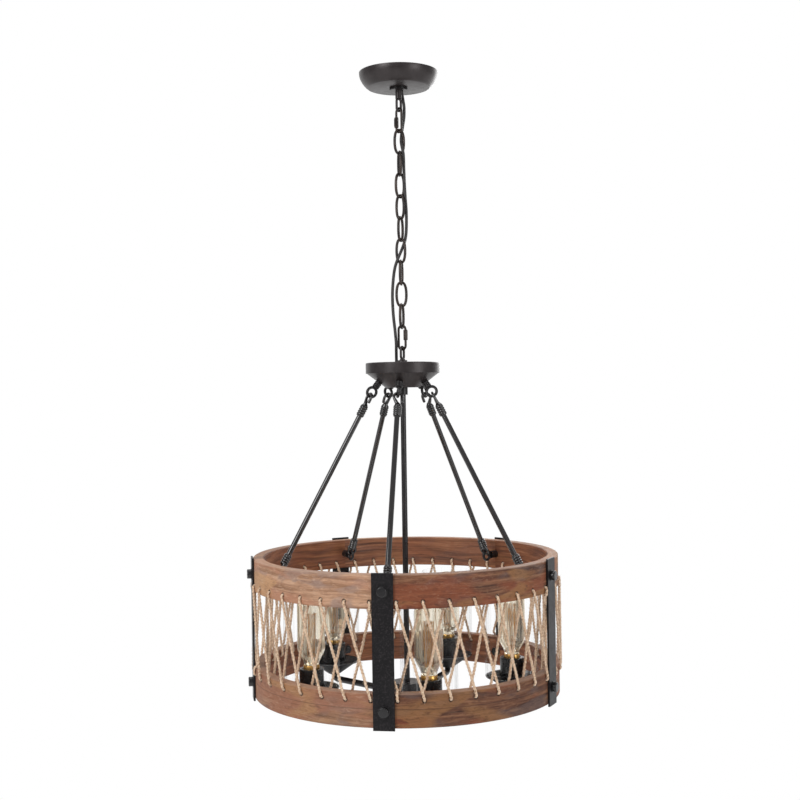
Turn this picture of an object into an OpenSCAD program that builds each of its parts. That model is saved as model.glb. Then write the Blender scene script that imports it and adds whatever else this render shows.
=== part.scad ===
// Wooden drum chandelier: two laminated hoops laced with jute twine, hung by five hooked rods and a chain.
// Origin on the ceiling plane, at the centre of the canopy. +Z up, -Y towards the viewer, millimetres.

/* [Ceiling] */
// Diameter of the canopy rim against the ceiling
canopy_d = 130; // [120:1:160]
// Diameter of the canopy's flat bottom
canopy_flat_d = 80; // [60:1:100]
// Height of the canopy
canopy_h = 25.4; // [22:0.2:34]
// Wall of the canopy
canopy_wall = 1.2; // [0.8:0.1:2]
// Length of the mounting bar
bar_length = 112; // [108:1:116]
// Width of the mounting bar
bar_width = 22; // [18:1:26]
// Thickness of the mounting bar
bar_t = 2; // [1.5:0.1:2.5]
// Distance between the two box screws
box_screw_spacing = 88.9; // [82:0.1:92]
// Width of the slots for the box screws
box_slot_w = 5; // [4.4:0.1:6]
// End-to-end length of the slots
box_slot_length = 12; // [8:1:14]
// Place of the earth screw along the bar
ground_screw_x = 22; // [16:1:28]
// Outer diameter of the threaded nipples
nipple_d = 9.5; // [9:0.1:10]
// Bore of the threaded nipples
nipple_bore = 6.5; // [5:0.1:7]
// Width across flats of the nuts on the nipples
nipple_nut_af = 15; // [13:0.5:17]
// Height of the nuts on the nipples
nipple_nut_h = 4; // [3:0.5:5]
// Diameter of the ring nut that holds the canopy
collar_d = 30; // [27:0.5:36]
// Height of the ring nut that holds the canopy
collar_h = 4; // [3:0.5:6]
// Diameter of the threaded base of the ceiling loop
loop_base_d = 24; // [23:0.5:25]
// Height of the threaded base of the ceiling loop
loop_base_h = 15; // [12:0.5:17]
// Diameter of the neck between base and loop
neck_d = 11; // [8:0.5:11]
// Underside of the ring nut to the point that the chain hangs from
loop_reach = 31.6; // [30:0.2:36]
// Inner length of the ceiling loop
ceiling_loop_inner = 16; // [14:0.5:17]
// Outer width of the ceiling loop
ceiling_loop_w = 13; // [12:0.5:14]
// Wire diameter of the ceiling loop and the hub loop
loop_wire = 4; // [3.5:0.1:4.4]

/* [Chain] */
// Length that each chain link adds to the chain
link_pitch = 36; // [34:0.5:40]
// Outer width of a chain link
link_w = 19.6; // [18:0.2:22]
// Wire diameter of a chain link
link_wire = 3.5; // [3:0.1:3.7]
// Length that each quick link adds to the chain
quick_pitch = 35; // [34:0.5:38]
// Outer width of a quick link
quick_w = 17; // [16:0.2:19]
// Wire diameter of a quick link
quick_wire = 4; // [3.5:0.1:4.2]
// Width across flats of the threaded sleeve
sleeve_af = 7; // [6.5:0.1:7.6]
// Length of the threaded sleeve
sleeve_l = 17; // [12:0.5:18]
// Clearance between links where they bear on each other
contact_gap = 0.3; // [0.2:0.05:0.5]

/* [Cord] */
// Diameter of the power cord
cord_d = 5; // [4:0.1:5]
// Diameter of a stripped conductor
lead_d = 2; // [1.4:0.1:2.4]
// Diameter of a twist connector at its mouth
wire_nut_d = 11; // [8:0.5:12]
// Length of a twist connector
wire_nut_l = 18; // [14:0.5:20]

/* [Hub] */
// Inner length of the loop on the hub
hub_loop_inner = 16; // [14:0.5:18]
// Outer width of the loop on the hub
hub_loop_w = 14; // [12:0.5:15]
// Diameter of the flange under the hub loop
hub_flange_d = 16; // [14:0.5:17]
// Height of the flange under the hub loop
hub_flange_h = 4; // [3.5:0.5:7]
// Diameter of the hub cap
hub_d = 122; // [116:1:130]
// Height of the hub cap
hub_cap_h = 17.5; // [15:0.5:22]
// Height of the cone under the cap
hub_cone_h = 23.5; // [20:0.5:28]
// Diameter of the cone's flat bottom
hub_flat_d = 57; // [50:1:60]
// Wall of cap and cone
hub_wall = 1.5; // [1:0.1:2]
// Height of the cone's lip inside the cap
hub_lip_h = 6; // [3:0.5:8]
// Radius on the cone where the eye bolts sit
eye_seat_r = 40; // [38:0.5:42]
// Distance from the cone to the centre of an eye
eye_reach = 20; // [18:0.5:24]
// Outer diameter of an eye
eye_d = 21; // [20:0.5:23]
// Wire diameter of an eye
eye_wire = 4.7; // [4:0.1:4.8]
// Shank diameter of an eye bolt
eye_shank_d = 6; // [5:0.5:7]
// Width across flats of the nuts on the eye bolts
eye_nut_af = 10; // [9:0.5:11]
// Height of the nuts on the eye bolts
eye_nut_h = 5; // [3:0.5:6]
// Turn of each eye about its own shank
eye_turn = -20; // [-25:1:0]

/* [Rods] */
// Diameter of the rods
rod_d = 8.5; // [6:0.1:9]
// Diameter of the ringed ferrules
ferrule_d = 10.6; // [9.5:0.1:12]
// Length of the ringed ferrules
ferrule_l = 11; // [9:0.5:14]
// Wire diameter of the hooks
hook_wire = 4.7; // [4:0.1:4.7]
// Bend radius of the hooks, to the middle of the wire
hook_r = 7; // [6.8:0.1:7.5]
// Length of the free hook end
hook_tip = 8; // [5:0.5:9]
// Clearance of the lower hooks in the drum's eyes
open_pivot_gap = 0.7; // [0.5:0.05:1]
// Gap in the pivot at the top of a rod
upper_pivot_gap = 0.5; // [0.4:0.05:0.7]

/* [Drum] */
// Outer diameter of the wooden hoops
ring_od = 500; // [460:1:540]
// Thickness of the hoops
ring_t = 18; // [15:0.5:20]
// Height of each hoop
ring_h = 50; // [44:1:60]
// Open height between the hoops
ring_gap = 123; // [100:1:160]
// Chamfer on the edges of the hoops
ring_chamfer = 1.2; // [0.5:0.1:2]
// Top of the hub down to the top of the drum
drum_drop = 315; // [290:1:340]
// Turn of the drum, rods and hub about the chain
drum_turn = -8; // [-36:1:36]
// Width of the iron straps
strap_w = 32; // [26:1:36]
// Thickness of the iron straps
strap_t = 3; // [2:0.5:4]
// Length of strap beyond the hoops at each end
strap_over = 3; // [0:0.5:8]
// Top of a strap down to its upper bolt
bolt_from_top = 27; // [24:0.5:32]
// Bottom of a strap up to its lower bolt
bolt_from_bottom = 28; // [22:0.5:32]
// Shank diameter of the strap bolts
bolt_d = 8; // [6:0.5:8]
// Head diameter of the strap bolts
bolt_head_d = 15; // [13:0.5:18]
// Head height of the strap bolts
bolt_head_h = 7; // [4:0.5:7.5]
// Diameter of the base of the strap eyes
eye_base_d = 13; // [11:0.5:14]
// Length of the base of the strap eyes
eye_base_l = 14; // [12:0.5:15]
// Inner face of the hoop to the centre of a strap eye
strap_eye_reach = 24; // [23:0.5:25]
// Width across flats of the lower nuts
lower_nut_af = 13; // [12:0.5:15]
// Height of the lower nuts
lower_nut_h = 6.5; // [5:0.5:8]

/* [Twine] */
// Lacing holes in each hoop
lace_holes = 40; // [40:20:80]
// Gap-side edge of a hoop to its lacing holes
lace_inset = 10.5; // [8:0.5:12]
// Diameter of the lacing holes
lace_hole_d = 5.6; // [5.4:0.1:6.4]
// Diameter of the twine
twine_d = 4; // [3:0.1:4.2]
// Clearance of the twine from the wood
twine_stand = 0.6; // [0.5:0.1:1.5]

/* [Lights] */
// Turn of the light cluster about the centre
light_turn = 11; // [8:0.5:14]
// Radius from the centre to each light
light_r = 173; // [160:1:176]
// Top of the drum down to the top of the plates
plate_drop = 199; // [185:1:202]
// Diameter of the plates
plate_d = 86; // [82:1:90]
// Thickness of the plates
plate_t = 2; // [1.5:0.1:2.5]
// Diameter of the cups at the plates
cup_d = 80; // [72:1:84]
// Diameter of the cups at the arms
cup_bottom_d = 20; // [17:1:30]
// Height of the cups
cup_h = 21; // [16:0.5:21]
// Wall of the cups
cup_wall = 1.5; // [1.2:0.1:2]
// Top of a plate down to the middle of its arm
arm_below_plate = 32; // [32:0.5:36]
// Outer diameter of the arms
arm_d = 10.5; // [9.5:0.1:11]
// Bore of the arms
arm_bore = 6.8; // [6:0.1:8]
// Bend radius of the arms, to the middle of the tube
arm_bend = 9; // [7.5:0.5:9]
// Diameter of the centre tube
tube_d = 9.2; // [9:0.1:9.4]
// Bore of the centre tube
tube_bore = 7; // [6.5:0.1:7.5]
// Diameter of the coupling collar under the hub
coupling_d = 16; // [14:0.5:20]
// Height of the coupling collar under the hub
coupling_h = 12; // [10:0.5:16]
// Diameter of the canister
canister_d = 50; // [46:1:60]
// Height of the canister
canister_h = 30; // [30:1:40]
// Wall of the canister
canister_wall = 1.5; // [1:0.1:2]
// Top of the canister above the middle of the arms
canister_above_arm = 20; // [14:0.5:21]
// Outer diameter of the glass cylinders
shade_d = 88; // [84:0.5:89]
// Height of the glass cylinders
shade_h = 148; // [125:1:152]
// Wall of the glass cylinders
shade_wall = 2.5; // [2:0.1:3]
// Bottom of the glass cylinders
shade_bottom_t = 3; // [2:0.1:4]

/* [Bulbs] */
// Diameter of the sockets
socket_d = 39; // [34:0.5:41]
// Height of the sockets
socket_h = 42.5; // [38:0.5:46]
// Diameter of the bulbs' screw bases
base_d = 26; // [25:0.1:26.5]
// Depth of the base in its socket
base_depth = 26; // [22:0.5:27]
// Height of base that shows above the socket
base_show = 6; // [2:0.5:8]
// Largest diameter of a bulb
bulb_d = 44; // [38:1:50]
// Length of a bulb's glass
bulb_l = 110; // [90:1:112]
// Length of a bulb's swelling from its neck to its full width
bulb_swell_l = 27; // [20:1:34]
// Length of a bulb's round end
bulb_end_l = 16; // [12:1:24]
// Wall of a bulb's glass
bulb_wall = 1; // [0.8:0.1:1.5]

/* [Hidden] */
$fn = 48;

// Colours
black_iron = [0.11, 0.10, 0.10];
bronze = [0.17, 0.15, 0.15];
steel = [0.66, 0.67, 0.68];
copper = [0.72, 0.45, 0.20];
cord_black = [0.09, 0.09, 0.10];
wood = [0.45, 0.31, 0.21];
jute = [0.70, 0.58, 0.42];
clear_glass = [0.85, 0.90, 0.92];
amber_glass = [0.93, 0.80, 0.55];

// Running fit between parts that turn on each other, on the radius
fit = 0.05;
// Clearance between fixed parts, on the radius
loose = 0.2;
// Overlap of shapes joined into one piece
bite = 1;
straps_n = 5;
step = 360 / straps_n;
link_n = 9;

// Heights of the ceiling pieces
collar_z = -canopy_h;
loop_base_z = collar_z - collar_h;
loop_base_top = loop_base_z + loop_base_h;
nipple_depth = 8;
canopy_hole_d = loop_base_d + 2 * loose;

// The chain: where each piece bears on the next, from the ceiling loop down
bearing_0 = loop_base_z - loop_reach;
bearing_1 = bearing_0 - quick_pitch;
bearing_10 = bearing_1 - link_n * link_pitch;
bearing_11 = bearing_10 - quick_pitch;
ceiling_loop_turn = 40;
upper_quick_turn = -50;
link_turns = [20, 105, 35, 138, 64, 150, 76, 0, 70];
lower_quick_turn = 150;
hub_loop_turn = 60;
upper_sleeve_shift = -3;
lower_sleeve_shift = 4;

// The power cord, from the canopy to the hub
cord_route = [
    [5.2, 6.5, -13], [5.2, 6.5, -30], [7.5, 5.5, -43], [9, 4.5, -56], [8.5, 4.5, -72], [6, 6, -88],
    [4, 6.5, -100], [3, 2, -113], [4.5, -2, -124], [6.5, -3, -136], [7, -2.5, -160], [7.5, -1.5, -182],
    [8.5, -1, -204], [10, 0, -232], [9.5, 2, -260], [7.5, 2.5, -275], [4, 1.5, -286], [-0.5, 0, -297],
    [-6.5, -2, -311], [-11, -2.5, -326], [-14, -2, -350], [-15, -1.5, -372], [-14, -1.5, -400],
    [-11.5, -1.8, -426], [-10, -1, -446], [-10, 2.5, -458], [-10, 5.8, -468], [-10, 6.8, -475],
    [-10, 6.8, -481], [-10, 6.8, -487]
];
cord_sides = 8;
cord_entry = cord_route[0];
cord_exit = cord_route[len(cord_route) - 1];
supply_nut_mouths = [[25, 20, -10], [-16, 20, -10]];
supply_routes = [
    [[5.9, 7.1, -11.9], [10, 11, -10], [18, 17, -9.5], [24, 19.8, -10], [26.7, 20, -10]],
    [[4.5, 7.1, -11.9], [1, 11.5, -10], [-8, 17, -9.5], [-15, 19.8, -10], [-17.7, 20, -10]],
    [[5.2, 5.4, -11.9], [9, 4.5, -10], [16, 2, -7], [ground_screw_x, 0, -5.6]]
];
splice_nut_mouths = [[-14, 13, -495], [7, 13, -495]];
splice_routes = [
    [[-10.9, 7, -487.9], [-12.5, 8.5, -490.5], [-14, 11.5, -494], [-14, 14.7, -494.4]],
    [[-9.1, 7, -487.9], [-4, 8.5, -490], [5.5, 10.5, -494], [7, 14.7, -494.4]],
    [[-13, 14.7, -497], [-12, 11, -499], [-3, 8, -500], [-1.2, 4, -500], [-1.2, 1, -501.5], [-1.2, 0, -503]],
    [[6, 14.7, -497], [4.5, 11, -499], [1.8, 8, -500], [1.2, 4, -500], [1.2, 1, -501.5], [1.2, 0, -503]]
];
lead_sides = 6;

// Heights and radii of the hub
hub_top = bearing_11 - hub_loop_inner - loop_wire - hub_flange_h;
cap_bottom = hub_top - hub_cap_h;
cone_bottom = cap_bottom - hub_cone_h;
cone_top_r = hub_d / 2 - hub_wall - 0.1;
cone_slope = atan(hub_cone_h / (cone_top_r - hub_flat_d / 2));
eye_seat_z = cap_bottom - (cone_top_r - eye_seat_r) * tan(cone_slope);
eye_r = (eye_d - eye_wire) / 2;
eye_hole_r = eye_d / 2 - eye_wire;
hub_eye = [eye_seat_r + eye_reach * sin(cone_slope), eye_seat_z - eye_reach * cos(cone_slope)];

// Heights and radii of the drum
drum_top = hub_top - drum_drop;
upper_gap_z = drum_top - ring_h;
lower_gap_z = upper_gap_z - ring_gap;
drum_bottom = lower_gap_z - ring_h;
ring_r = ring_od / 2;
ring_inner_r = ring_r - ring_t;
strap_top = drum_top + strap_over;
strap_bottom = drum_bottom - strap_over;
upper_bolt_z = strap_top - bolt_from_top;
lower_bolt_z = strap_bottom + bolt_from_bottom;
strap_face_r = ring_r + 0.05;
strap_eye = [ring_inner_r - strap_eye_reach, upper_bolt_z];

// The rods run on the line from a hub eye to a strap eye
rod_span = norm(strap_eye - hub_eye);
rod_lean = atan2(strap_eye[0] - hub_eye[0], hub_eye[1] - strap_eye[1]);
hook_lead = 30;
hook_stem = hook_r / sin(hook_lead);
upper_hook_z = -(eye_hole_r - upper_pivot_gap - hook_wire / 2 + hook_r);
lower_hook_z = -rod_span + eye_hole_r - open_pivot_gap - hook_wire / 2 + hook_r;
upper_hook_turn = 90 - eye_turn;
lower_hook_turn = 90;

// The lacing: holes lie half a step from each strap
lace_step = 360 / lace_holes;
lace_turn = drum_turn + lace_step / 2;
lace_upper_z = upper_gap_z + lace_inset;
lace_lower_z = lower_gap_z - lace_inset;
twine_r = twine_d / 2;
twine_out_r = ring_r + twine_stand + twine_r;
twine_in_r = ring_inner_r - twine_stand - twine_r;
twine_sides = 6;

// Heights and radii of the light cluster
plate_z = drum_top - plate_drop;
arm_z = plate_z - arm_below_plate;
canister_top = arm_z + canister_above_arm;
canister_bottom = canister_top - canister_h;
plate_bottom = plate_z - plate_t;
socket_z = plate_bottom - cup_h / 2;
socket_top = socket_z + socket_h;
base_z = socket_top - base_depth;
glass_z = socket_top + base_show;
arm_end_z = socket_z + 5.5;
stem_hole_d = arm_d + 2 * loose;
socket_hole_d = socket_d + 1.4;
tube_top = cone_bottom - coupling_h / 2 - 0.2;
tube_bottom = canister_top - 4;
lead_hole_z = -500;

// Points along a smooth curve through a list of points
function curve_point(a, b, c, d, t) = 0.5 * (2 * b + (c - a) * t + (2 * a - 5 * b + 4 * c - d) * t * t
    + (3 * b - a - 3 * c + d) * t * t * t);
function smooth_route(p, cuts) = [
    for (i = [0 : len(p) - 2], k = [0 : cuts - 1])
        curve_point(p[max(i - 1, 0)], p[i], p[i + 1], p[min(i + 2, len(p) - 1)], k / cuts),
    p[len(p) - 1]
];
function route_length(p) = len(p) < 2 ? 0 : [for (i = [1 : len(p) - 1]) norm(p[i] - p[i - 1])] * [
    for (i = [1 : len(p) - 1]) 1];

// Directions along a route, and a side direction carried along it without twist
function unit(v) = v / norm(v);
function directions(p) = [for (i = [1 : len(p) - 1]) unit(p[i] - p[i - 1])];
function square_to(v, t) = unit(v - (v * t) * t);
function carried(v, t, i) = i == len(t) ? [] : let(n = square_to(v, t[i])) [n, each carried(n, t, i + 1)];

// Rings of a tube: centre, direction before and after, and a reference across the bend
function ring_points(centre, before, after, across, r, sides) =
    let(along = unit(before + after),
        a = unit(cross(across, along)),
        b = cross(along, a),
        mitre = 1 / max(0.5, before * along))
    [for (k = [0 : sides - 1]) centre + r * (cos(360 * k / sides) * mitre * a + sin(360 * k / sides) * b)];
function ring_faces(i, j, sides) = [
    for (k = [0 : sides - 1])
        let(n = (k + 1) % sides)
            each [
                [i * sides + k, j * sides + n, i * sides + n],
                [i * sides + k, j * sides + k, j * sides + n]
            ]
];

// A tube along an open route
module open_tube(p, r, sides) {
    n = len(p);
    t = directions(p);
    across = carried([0.3, 0.9, 0.2], t, 0);
    points = [
        for (i = [0 : n - 1])
            each ring_points(p[i], t[max(i, 1) - 1], t[min(i, n - 2)], across[min(i, n - 2)], r, sides)
    ];
    faces = [
        [for (k = [0 : sides - 1]) k],
        for (i = [0 : n - 2]) each ring_faces(i, i + 1, sides),
        [for (k = [0 : sides - 1]) n * sides - 1 - k]
    ];
    polyhedron(points, faces);
}

// A tube along a closed lacing, where the reference at each ring is the direction around the drum
module closed_tube(p, r, sides) {
    n = len(p);
    points = [
        for (i = [0 : n - 1])
            let(before = unit(p[i] - p[(i + n - 1) % n]),
                after = unit(p[(i + 1) % n] - p[i]),
                around = unit([-p[i][1], p[i][0], 0]))
                each ring_points(p[i], before, after, around, r, sides)
    ];
    faces = [for (i = [0 : n - 1]) each ring_faces(i, (i + 1) % n, sides)];
    polyhedron(points, faces);
}

// Children at the front, repeated around the centre
module around(turn, n = straps_n) {
    for (i = [0 : n - 1]) {
        rotate([0, 0, turn + i * 360 / n]) children();
    }
}

// A ring with a bore, standing on z
module tube(h, d, bore) {
    difference() {
        cylinder(h = h, d = d);
        translate([0, 0, -bite]) cylinder(h = h + 2 * bite, d = bore);
    }
}

module hex_nut(h, af, bore) {
    difference() {
        cylinder(h = h, d = af / cos(30), $fn = 6);
        translate([0, 0, -bite]) cylinder(h = h + 2 * bite, d = bore);
    }
}

// An oval of round wire in the XZ plane, centred on its hole
module oval_link(inner, w, wire) {
    r = (w - wire) / 2;
    half = (inner + 2 * wire - w) / 2;
    for (side = [0, 180]) {
        rotate([0, side, 0]) {
            translate([0, 0, half]) rotate([90, 0, 0])
                rotate_extrude(angle = 180) translate([r, 0]) circle(d = wire);
            translate([r, 0, -half]) cylinder(h = 2 * half, d = wire);
        }
    }
}

// A stack of raised rings on a core, standing on z
module ringed_ferrule(l, d) {
    beads = 4;
    pitch = l / beads;
    cylinder(h = l, d = d - 1.6);
    for (i = [0 : beads - 1]) {
        translate([0, 0, i * pitch]) cylinder(h = pitch * 0.65, d = d);
    }
}

// A round eye in the XZ plane, centred on its hole
module eye_ring() {
    rotate([90, 0, 0]) rotate_extrude() translate([eye_r, 0]) circle(d = eye_wire);
}

// A threaded sleeve with tapered ends, centred
module sleeve() {
    corner_d = sleeve_af / cos(30);
    difference() {
        intersection() {
            cylinder(h = sleeve_l, d = corner_d, center = true, $fn = 6);
            for (side = [0, 180]) {
                rotate([side, 0, 0]) cylinder(h = sleeve_l / 2, d1 = corner_d + 2, d2 = sleeve_af - 0.4);
            }
        }
        cylinder(h = sleeve_l + 2 * bite, d = quick_wire + 2 * fit, center = true);
    }
}

// A twist connector with its mouth on z
module wire_nut() {
    difference() {
        cylinder(h = wire_nut_l, d1 = wire_nut_d, d2 = wire_nut_d - 4);
        translate([0, 0, -bite]) cylinder(h = 2 + bite, d = wire_nut_d - 5);
    }
}

// The places of the chain's pieces
module at_bearing(top, bottom, turn) {
    translate([0, 0, (top + bottom) / 2]) rotate([0, 0, turn]) children();
}

module chain_link(i) {
    top = bearing_1 - (i - 1) * link_pitch;
    color(bronze) at_bearing(top, top - link_pitch, link_turns[i - 1])
        oval_link(link_pitch + contact_gap, link_w, link_wire);
}

module quick_link(top, turn) {
    color(bronze) at_bearing(top, top - quick_pitch, turn)
        oval_link(quick_pitch + contact_gap, quick_w, quick_wire);
}

module link_sleeve(top, turn, side, shift) {
    color(black_iron) at_bearing(top, top - quick_pitch, turn)
        translate([side * (quick_w - quick_wire) / 2, 0, shift]) sleeve();
}

module upper_link_sleeve() {
    link_sleeve(bearing_0, upper_quick_turn, -1, upper_sleeve_shift);
}

module lower_link_sleeve() {
    link_sleeve(bearing_10, lower_quick_turn, -1, lower_sleeve_shift);
}

// Ceiling pieces
module ceiling_bar() {
    color(steel) difference() {
        translate([-bar_length / 2, -bar_width / 2, -bar_t]) cube([bar_length, bar_width, bar_t]);
        translate([0, 0, -bar_t - bite]) cylinder(h = bar_t + 2 * bite, d = nipple_d + 2 * fit);
        translate([ground_screw_x, 0, -bar_t - bite]) cylinder(h = bar_t + 2 * bite, d = 4 + 2 * fit);
        for (side = [-1, 1]) {
            translate([side * box_screw_spacing / 2, 0, -bar_t - bite]) {
                reach = (box_slot_length - box_slot_w) / 2;
                for (end = [-1, 1]) {
                    translate([end * reach, 0, 0]) cylinder(h = bar_t + 2 * bite, d = box_slot_w);
                }
                translate([-reach, -box_slot_w / 2, 0]) cube([2 * reach, box_slot_w, bar_t + 2 * bite]);
            }
        }
    }
}

module ceiling_nipple() {
    bottom = loop_base_top - nipple_depth + 0.2;
    color(steel) translate([0, 0, bottom]) tube(-0.3 - bottom, nipple_d, nipple_bore);
}

module ceiling_nut() {
    color(steel) translate([0, 0, -bar_t - nipple_nut_h])
        hex_nut(nipple_nut_h, nipple_nut_af, nipple_d + 2 * fit);
}

module ground_screw() {
    color(steel) translate([ground_screw_x, 0, 0]) {
        translate([0, 0, -bar_t]) cylinder(h = bar_t - 0.2, d = 4);
        translate([0, 0, -bar_t - 2.6]) cylinder(h = 2.6, d = 8);
    }
}

module ceiling_loop() {
    loop_top = bearing_0 - contact_gap / 2 + ceiling_loop_inner + loop_wire;
    color(bronze) difference() {
        union() {
            translate([0, 0, loop_base_z]) cylinder(h = loop_base_h, d = loop_base_d);
            translate([0, 0, loop_top - loop_wire / 2])
                cylinder(h = loop_base_z - loop_top + loop_wire / 2 + bite, d = neck_d);
            translate([0, 0, loop_top - loop_wire - ceiling_loop_inner / 2]) rotate([0, 0, ceiling_loop_turn])
                oval_link(ceiling_loop_inner, ceiling_loop_w, loop_wire);
        }
        translate([0, 0, loop_base_top - nipple_depth])
            cylinder(h = nipple_depth + bite, d = nipple_d + 2 * fit);
        translate([cord_entry[0], cord_entry[1], loop_base_z - bite])
            cylinder(h = loop_base_h + 2 * bite, d = cord_d + 2 * loose);
    }
}

module collar_ring() {
    color(black_iron) translate([0, 0, collar_z - collar_h]) difference() {
        union() {
            cylinder(h = collar_h, d = collar_d - 1.5);
            translate([0, 0, 0.6]) cylinder(h = collar_h - 1.2, d = collar_d);
        }
        translate([0, 0, -bite]) cylinder(h = collar_h + 2 * bite, d = loop_base_d + 2 * fit);
    }
}

// Outline of the canopy: a short upright rim, then a quarter of an ellipse to the flat
function canopy_side(inset) = [
    for (t = [0 : 7.5 : 90])
        [canopy_flat_d / 2 + (canopy_d / 2 - canopy_flat_d / 2 - inset) * cos(t),
            -3 - (canopy_h - 3 - inset) * sin(t)]
];

module canopy() {
    outer = canopy_side(0);
    inner = canopy_side(canopy_wall);
    hole_r = canopy_hole_d / 2;
    color(bronze) rotate_extrude($fn = 96) polygon([
        [canopy_d / 2, 0], each outer, [hole_r, -canopy_h], [hole_r, canopy_wall - canopy_h],
        for (i = [len(inner) - 1 : -1 : 0]) inner[i], [canopy_d / 2 - canopy_wall, 0]
    ]);
}

module supply_leads() {
    color(copper) for (route = supply_routes) {
        open_tube(smooth_route(route, 3), lead_d / 2, lead_sides);
    }
}

module wire_nuts() {
    color([0.75, 0.35, 0.10]) for (i = [0, 1]) {
        translate(supply_nut_mouths[i]) rotate([0, i == 0 ? 90 : -90, 0]) wire_nut();
    }
}

module power_cord() {
    route = smooth_route(cord_route, 2);
    echo("power_cord", length_mm = route_length(route), rings = len(route));
    color(cord_black) open_tube(route, cord_d / 2, cord_sides);
}

// Hub pieces
module hub_loop() {
    ring_z = bearing_11 + contact_gap / 2 - hub_loop_inner / 2;
    flange_top = hub_top + hub_flange_h;
    color(bronze) difference() {
        union() {
            translate([0, 0, ring_z]) rotate([0, 0, hub_loop_turn])
                oval_link(hub_loop_inner, hub_loop_w, loop_wire);
            translate([0, 0, hub_top]) cylinder(h = hub_flange_h, d = hub_flange_d);
            translate([0, 0, flange_top - bite]) cylinder(h = loop_wire / 2 + bite, d = neck_d - 2);
        }
        translate([0, 0, hub_top - bite]) cylinder(h = hub_flange_h - 1 + bite, d = nipple_d + 2 * fit);
        translate([cord_exit[0], cord_exit[1], hub_top - bite])
            cylinder(h = 3 * hub_flange_h, d = cord_d + 2 * loose + 1);
    }
}

module hub_cap() {
    r = hub_d / 2;
    edge = 2;
    color(bronze) difference() {
        rotate_extrude($fn = 96) polygon([
            [0, hub_top], for (t = [90 : -15 : 0]) [r - edge + edge * cos(t), hub_top - edge + edge * sin(t)],
            [r, cap_bottom], [r - hub_wall, cap_bottom],
            [r - hub_wall, hub_top - hub_wall], [0, hub_top - hub_wall]
        ]);
        translate([0, 0, hub_top - 2 * hub_wall]) cylinder(h = 3 * hub_wall, d = nipple_d + 2 * fit);
        translate([cord_exit[0], cord_exit[1], hub_top - 2 * hub_wall])
            cylinder(h = 3 * hub_wall, d = cord_d + 2.6);
    }
}

module hub_cone() {
    color(bronze) difference() {
        rotate_extrude($fn = 96) polygon([
            [cone_top_r, cap_bottom + hub_lip_h], [cone_top_r, cap_bottom], [hub_flat_d / 2, cone_bottom],
            [0, cone_bottom], [0, cone_bottom + hub_wall],
            [hub_flat_d / 2 - hub_wall / 3, cone_bottom + hub_wall],
            [cone_top_r - hub_wall, cap_bottom + hub_wall / 3],
            [cone_top_r - hub_wall, cap_bottom + hub_lip_h]
        ]);
        translate([0, 0, cone_bottom - bite]) cylinder(h = 3 * hub_wall + bite, d = nipple_d + 2 * fit);
        around(drum_turn) on_cone() translate([0, 0, -3 * hub_wall])
            cylinder(h = 6 * hub_wall, d = eye_shank_d + 2 * loose);
    }
}

// Children stand on the cone's outer face, with +Z out of the cone
module on_cone() {
    translate([0, -eye_seat_r, eye_seat_z]) rotate([180 - cone_slope, 0, 0]) children();
}

module hub_nipple() {
    top = hub_top + hub_flange_h - 1.3;
    bottom = cone_bottom - coupling_h / 2;
    color(steel) difference() {
        translate([0, 0, bottom]) tube(top - bottom, nipple_d, nipple_bore);
        translate([0, 0, lead_hole_z]) rotate([-90, 0, 0]) cylinder(h = nipple_d, d = 5);
    }
}

module hub_nuts() {
    color(steel) for (z = [hub_top - hub_wall - nipple_nut_h, cone_bottom + hub_wall]) {
        translate([0, 0, z]) hex_nut(nipple_nut_h, nipple_nut_af, nipple_d + 2 * fit);
    }
}

module hub_grommet() {
    color(cord_black) translate([cord_exit[0], cord_exit[1], hub_top - hub_wall - 1])
        tube(hub_wall + 2, cord_d + 2.4, cord_d + 0.6);
}

module hub_eyes() {
    color(black_iron) around(drum_turn) on_cone() rotate([0, 0, eye_turn]) {
        translate([0, 0, 0.3]) ringed_ferrule(ferrule_l - 0.3, ferrule_d);
        translate([0, 0, eye_reach]) rotate([0, 0, 90]) eye_ring();
        translate([0, 0, -hub_wall - eye_nut_h - 1]) cylinder(h = hub_wall + eye_nut_h + 2, d = eye_shank_d);
    }
}

module hub_eye_nuts() {
    color(steel) around(drum_turn) on_cone() translate([0, 0, -hub_wall - 0.35 - eye_nut_h])
        hex_nut(eye_nut_h, eye_nut_af, eye_shank_d + 2 * fit);
}

module hub_splices() {
    color([0.75, 0.35, 0.10]) {
        for (mouth = splice_nut_mouths) {
            translate(mouth) rotate([-90, 0, 0]) wire_nut();
        }
        for (route = splice_routes) {
            open_tube(smooth_route(route, 3), lead_d / 2, lead_sides);
        }
    }
}

// One hook in the XZ plane: its bend is centred on the origin and opens downwards
module hook() {
    lap = 0.5;
    straight_d = hook_wire - 0.1;
    rotate([90, 0, 0]) rotate([0, 0, -hook_lead]) rotate_extrude(angle = 180 + hook_lead)
        translate([hook_r, 0]) circle(d = hook_wire);
    translate([hook_r * cos(hook_lead), 0, -hook_r * sin(hook_lead)]) rotate([0, 180 + hook_lead, 0])
        translate([0, 0, -lap]) cylinder(h = hook_r / tan(hook_lead) + lap, d = straight_d);
    translate([-hook_r, 0, -hook_tip]) {
        cylinder(h = hook_tip + lap, d = straight_d);
        translate([0, 0, -1.2]) cylinder(h = 1.2, d1 = straight_d - 2, d2 = straight_d);
    }
}

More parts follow.
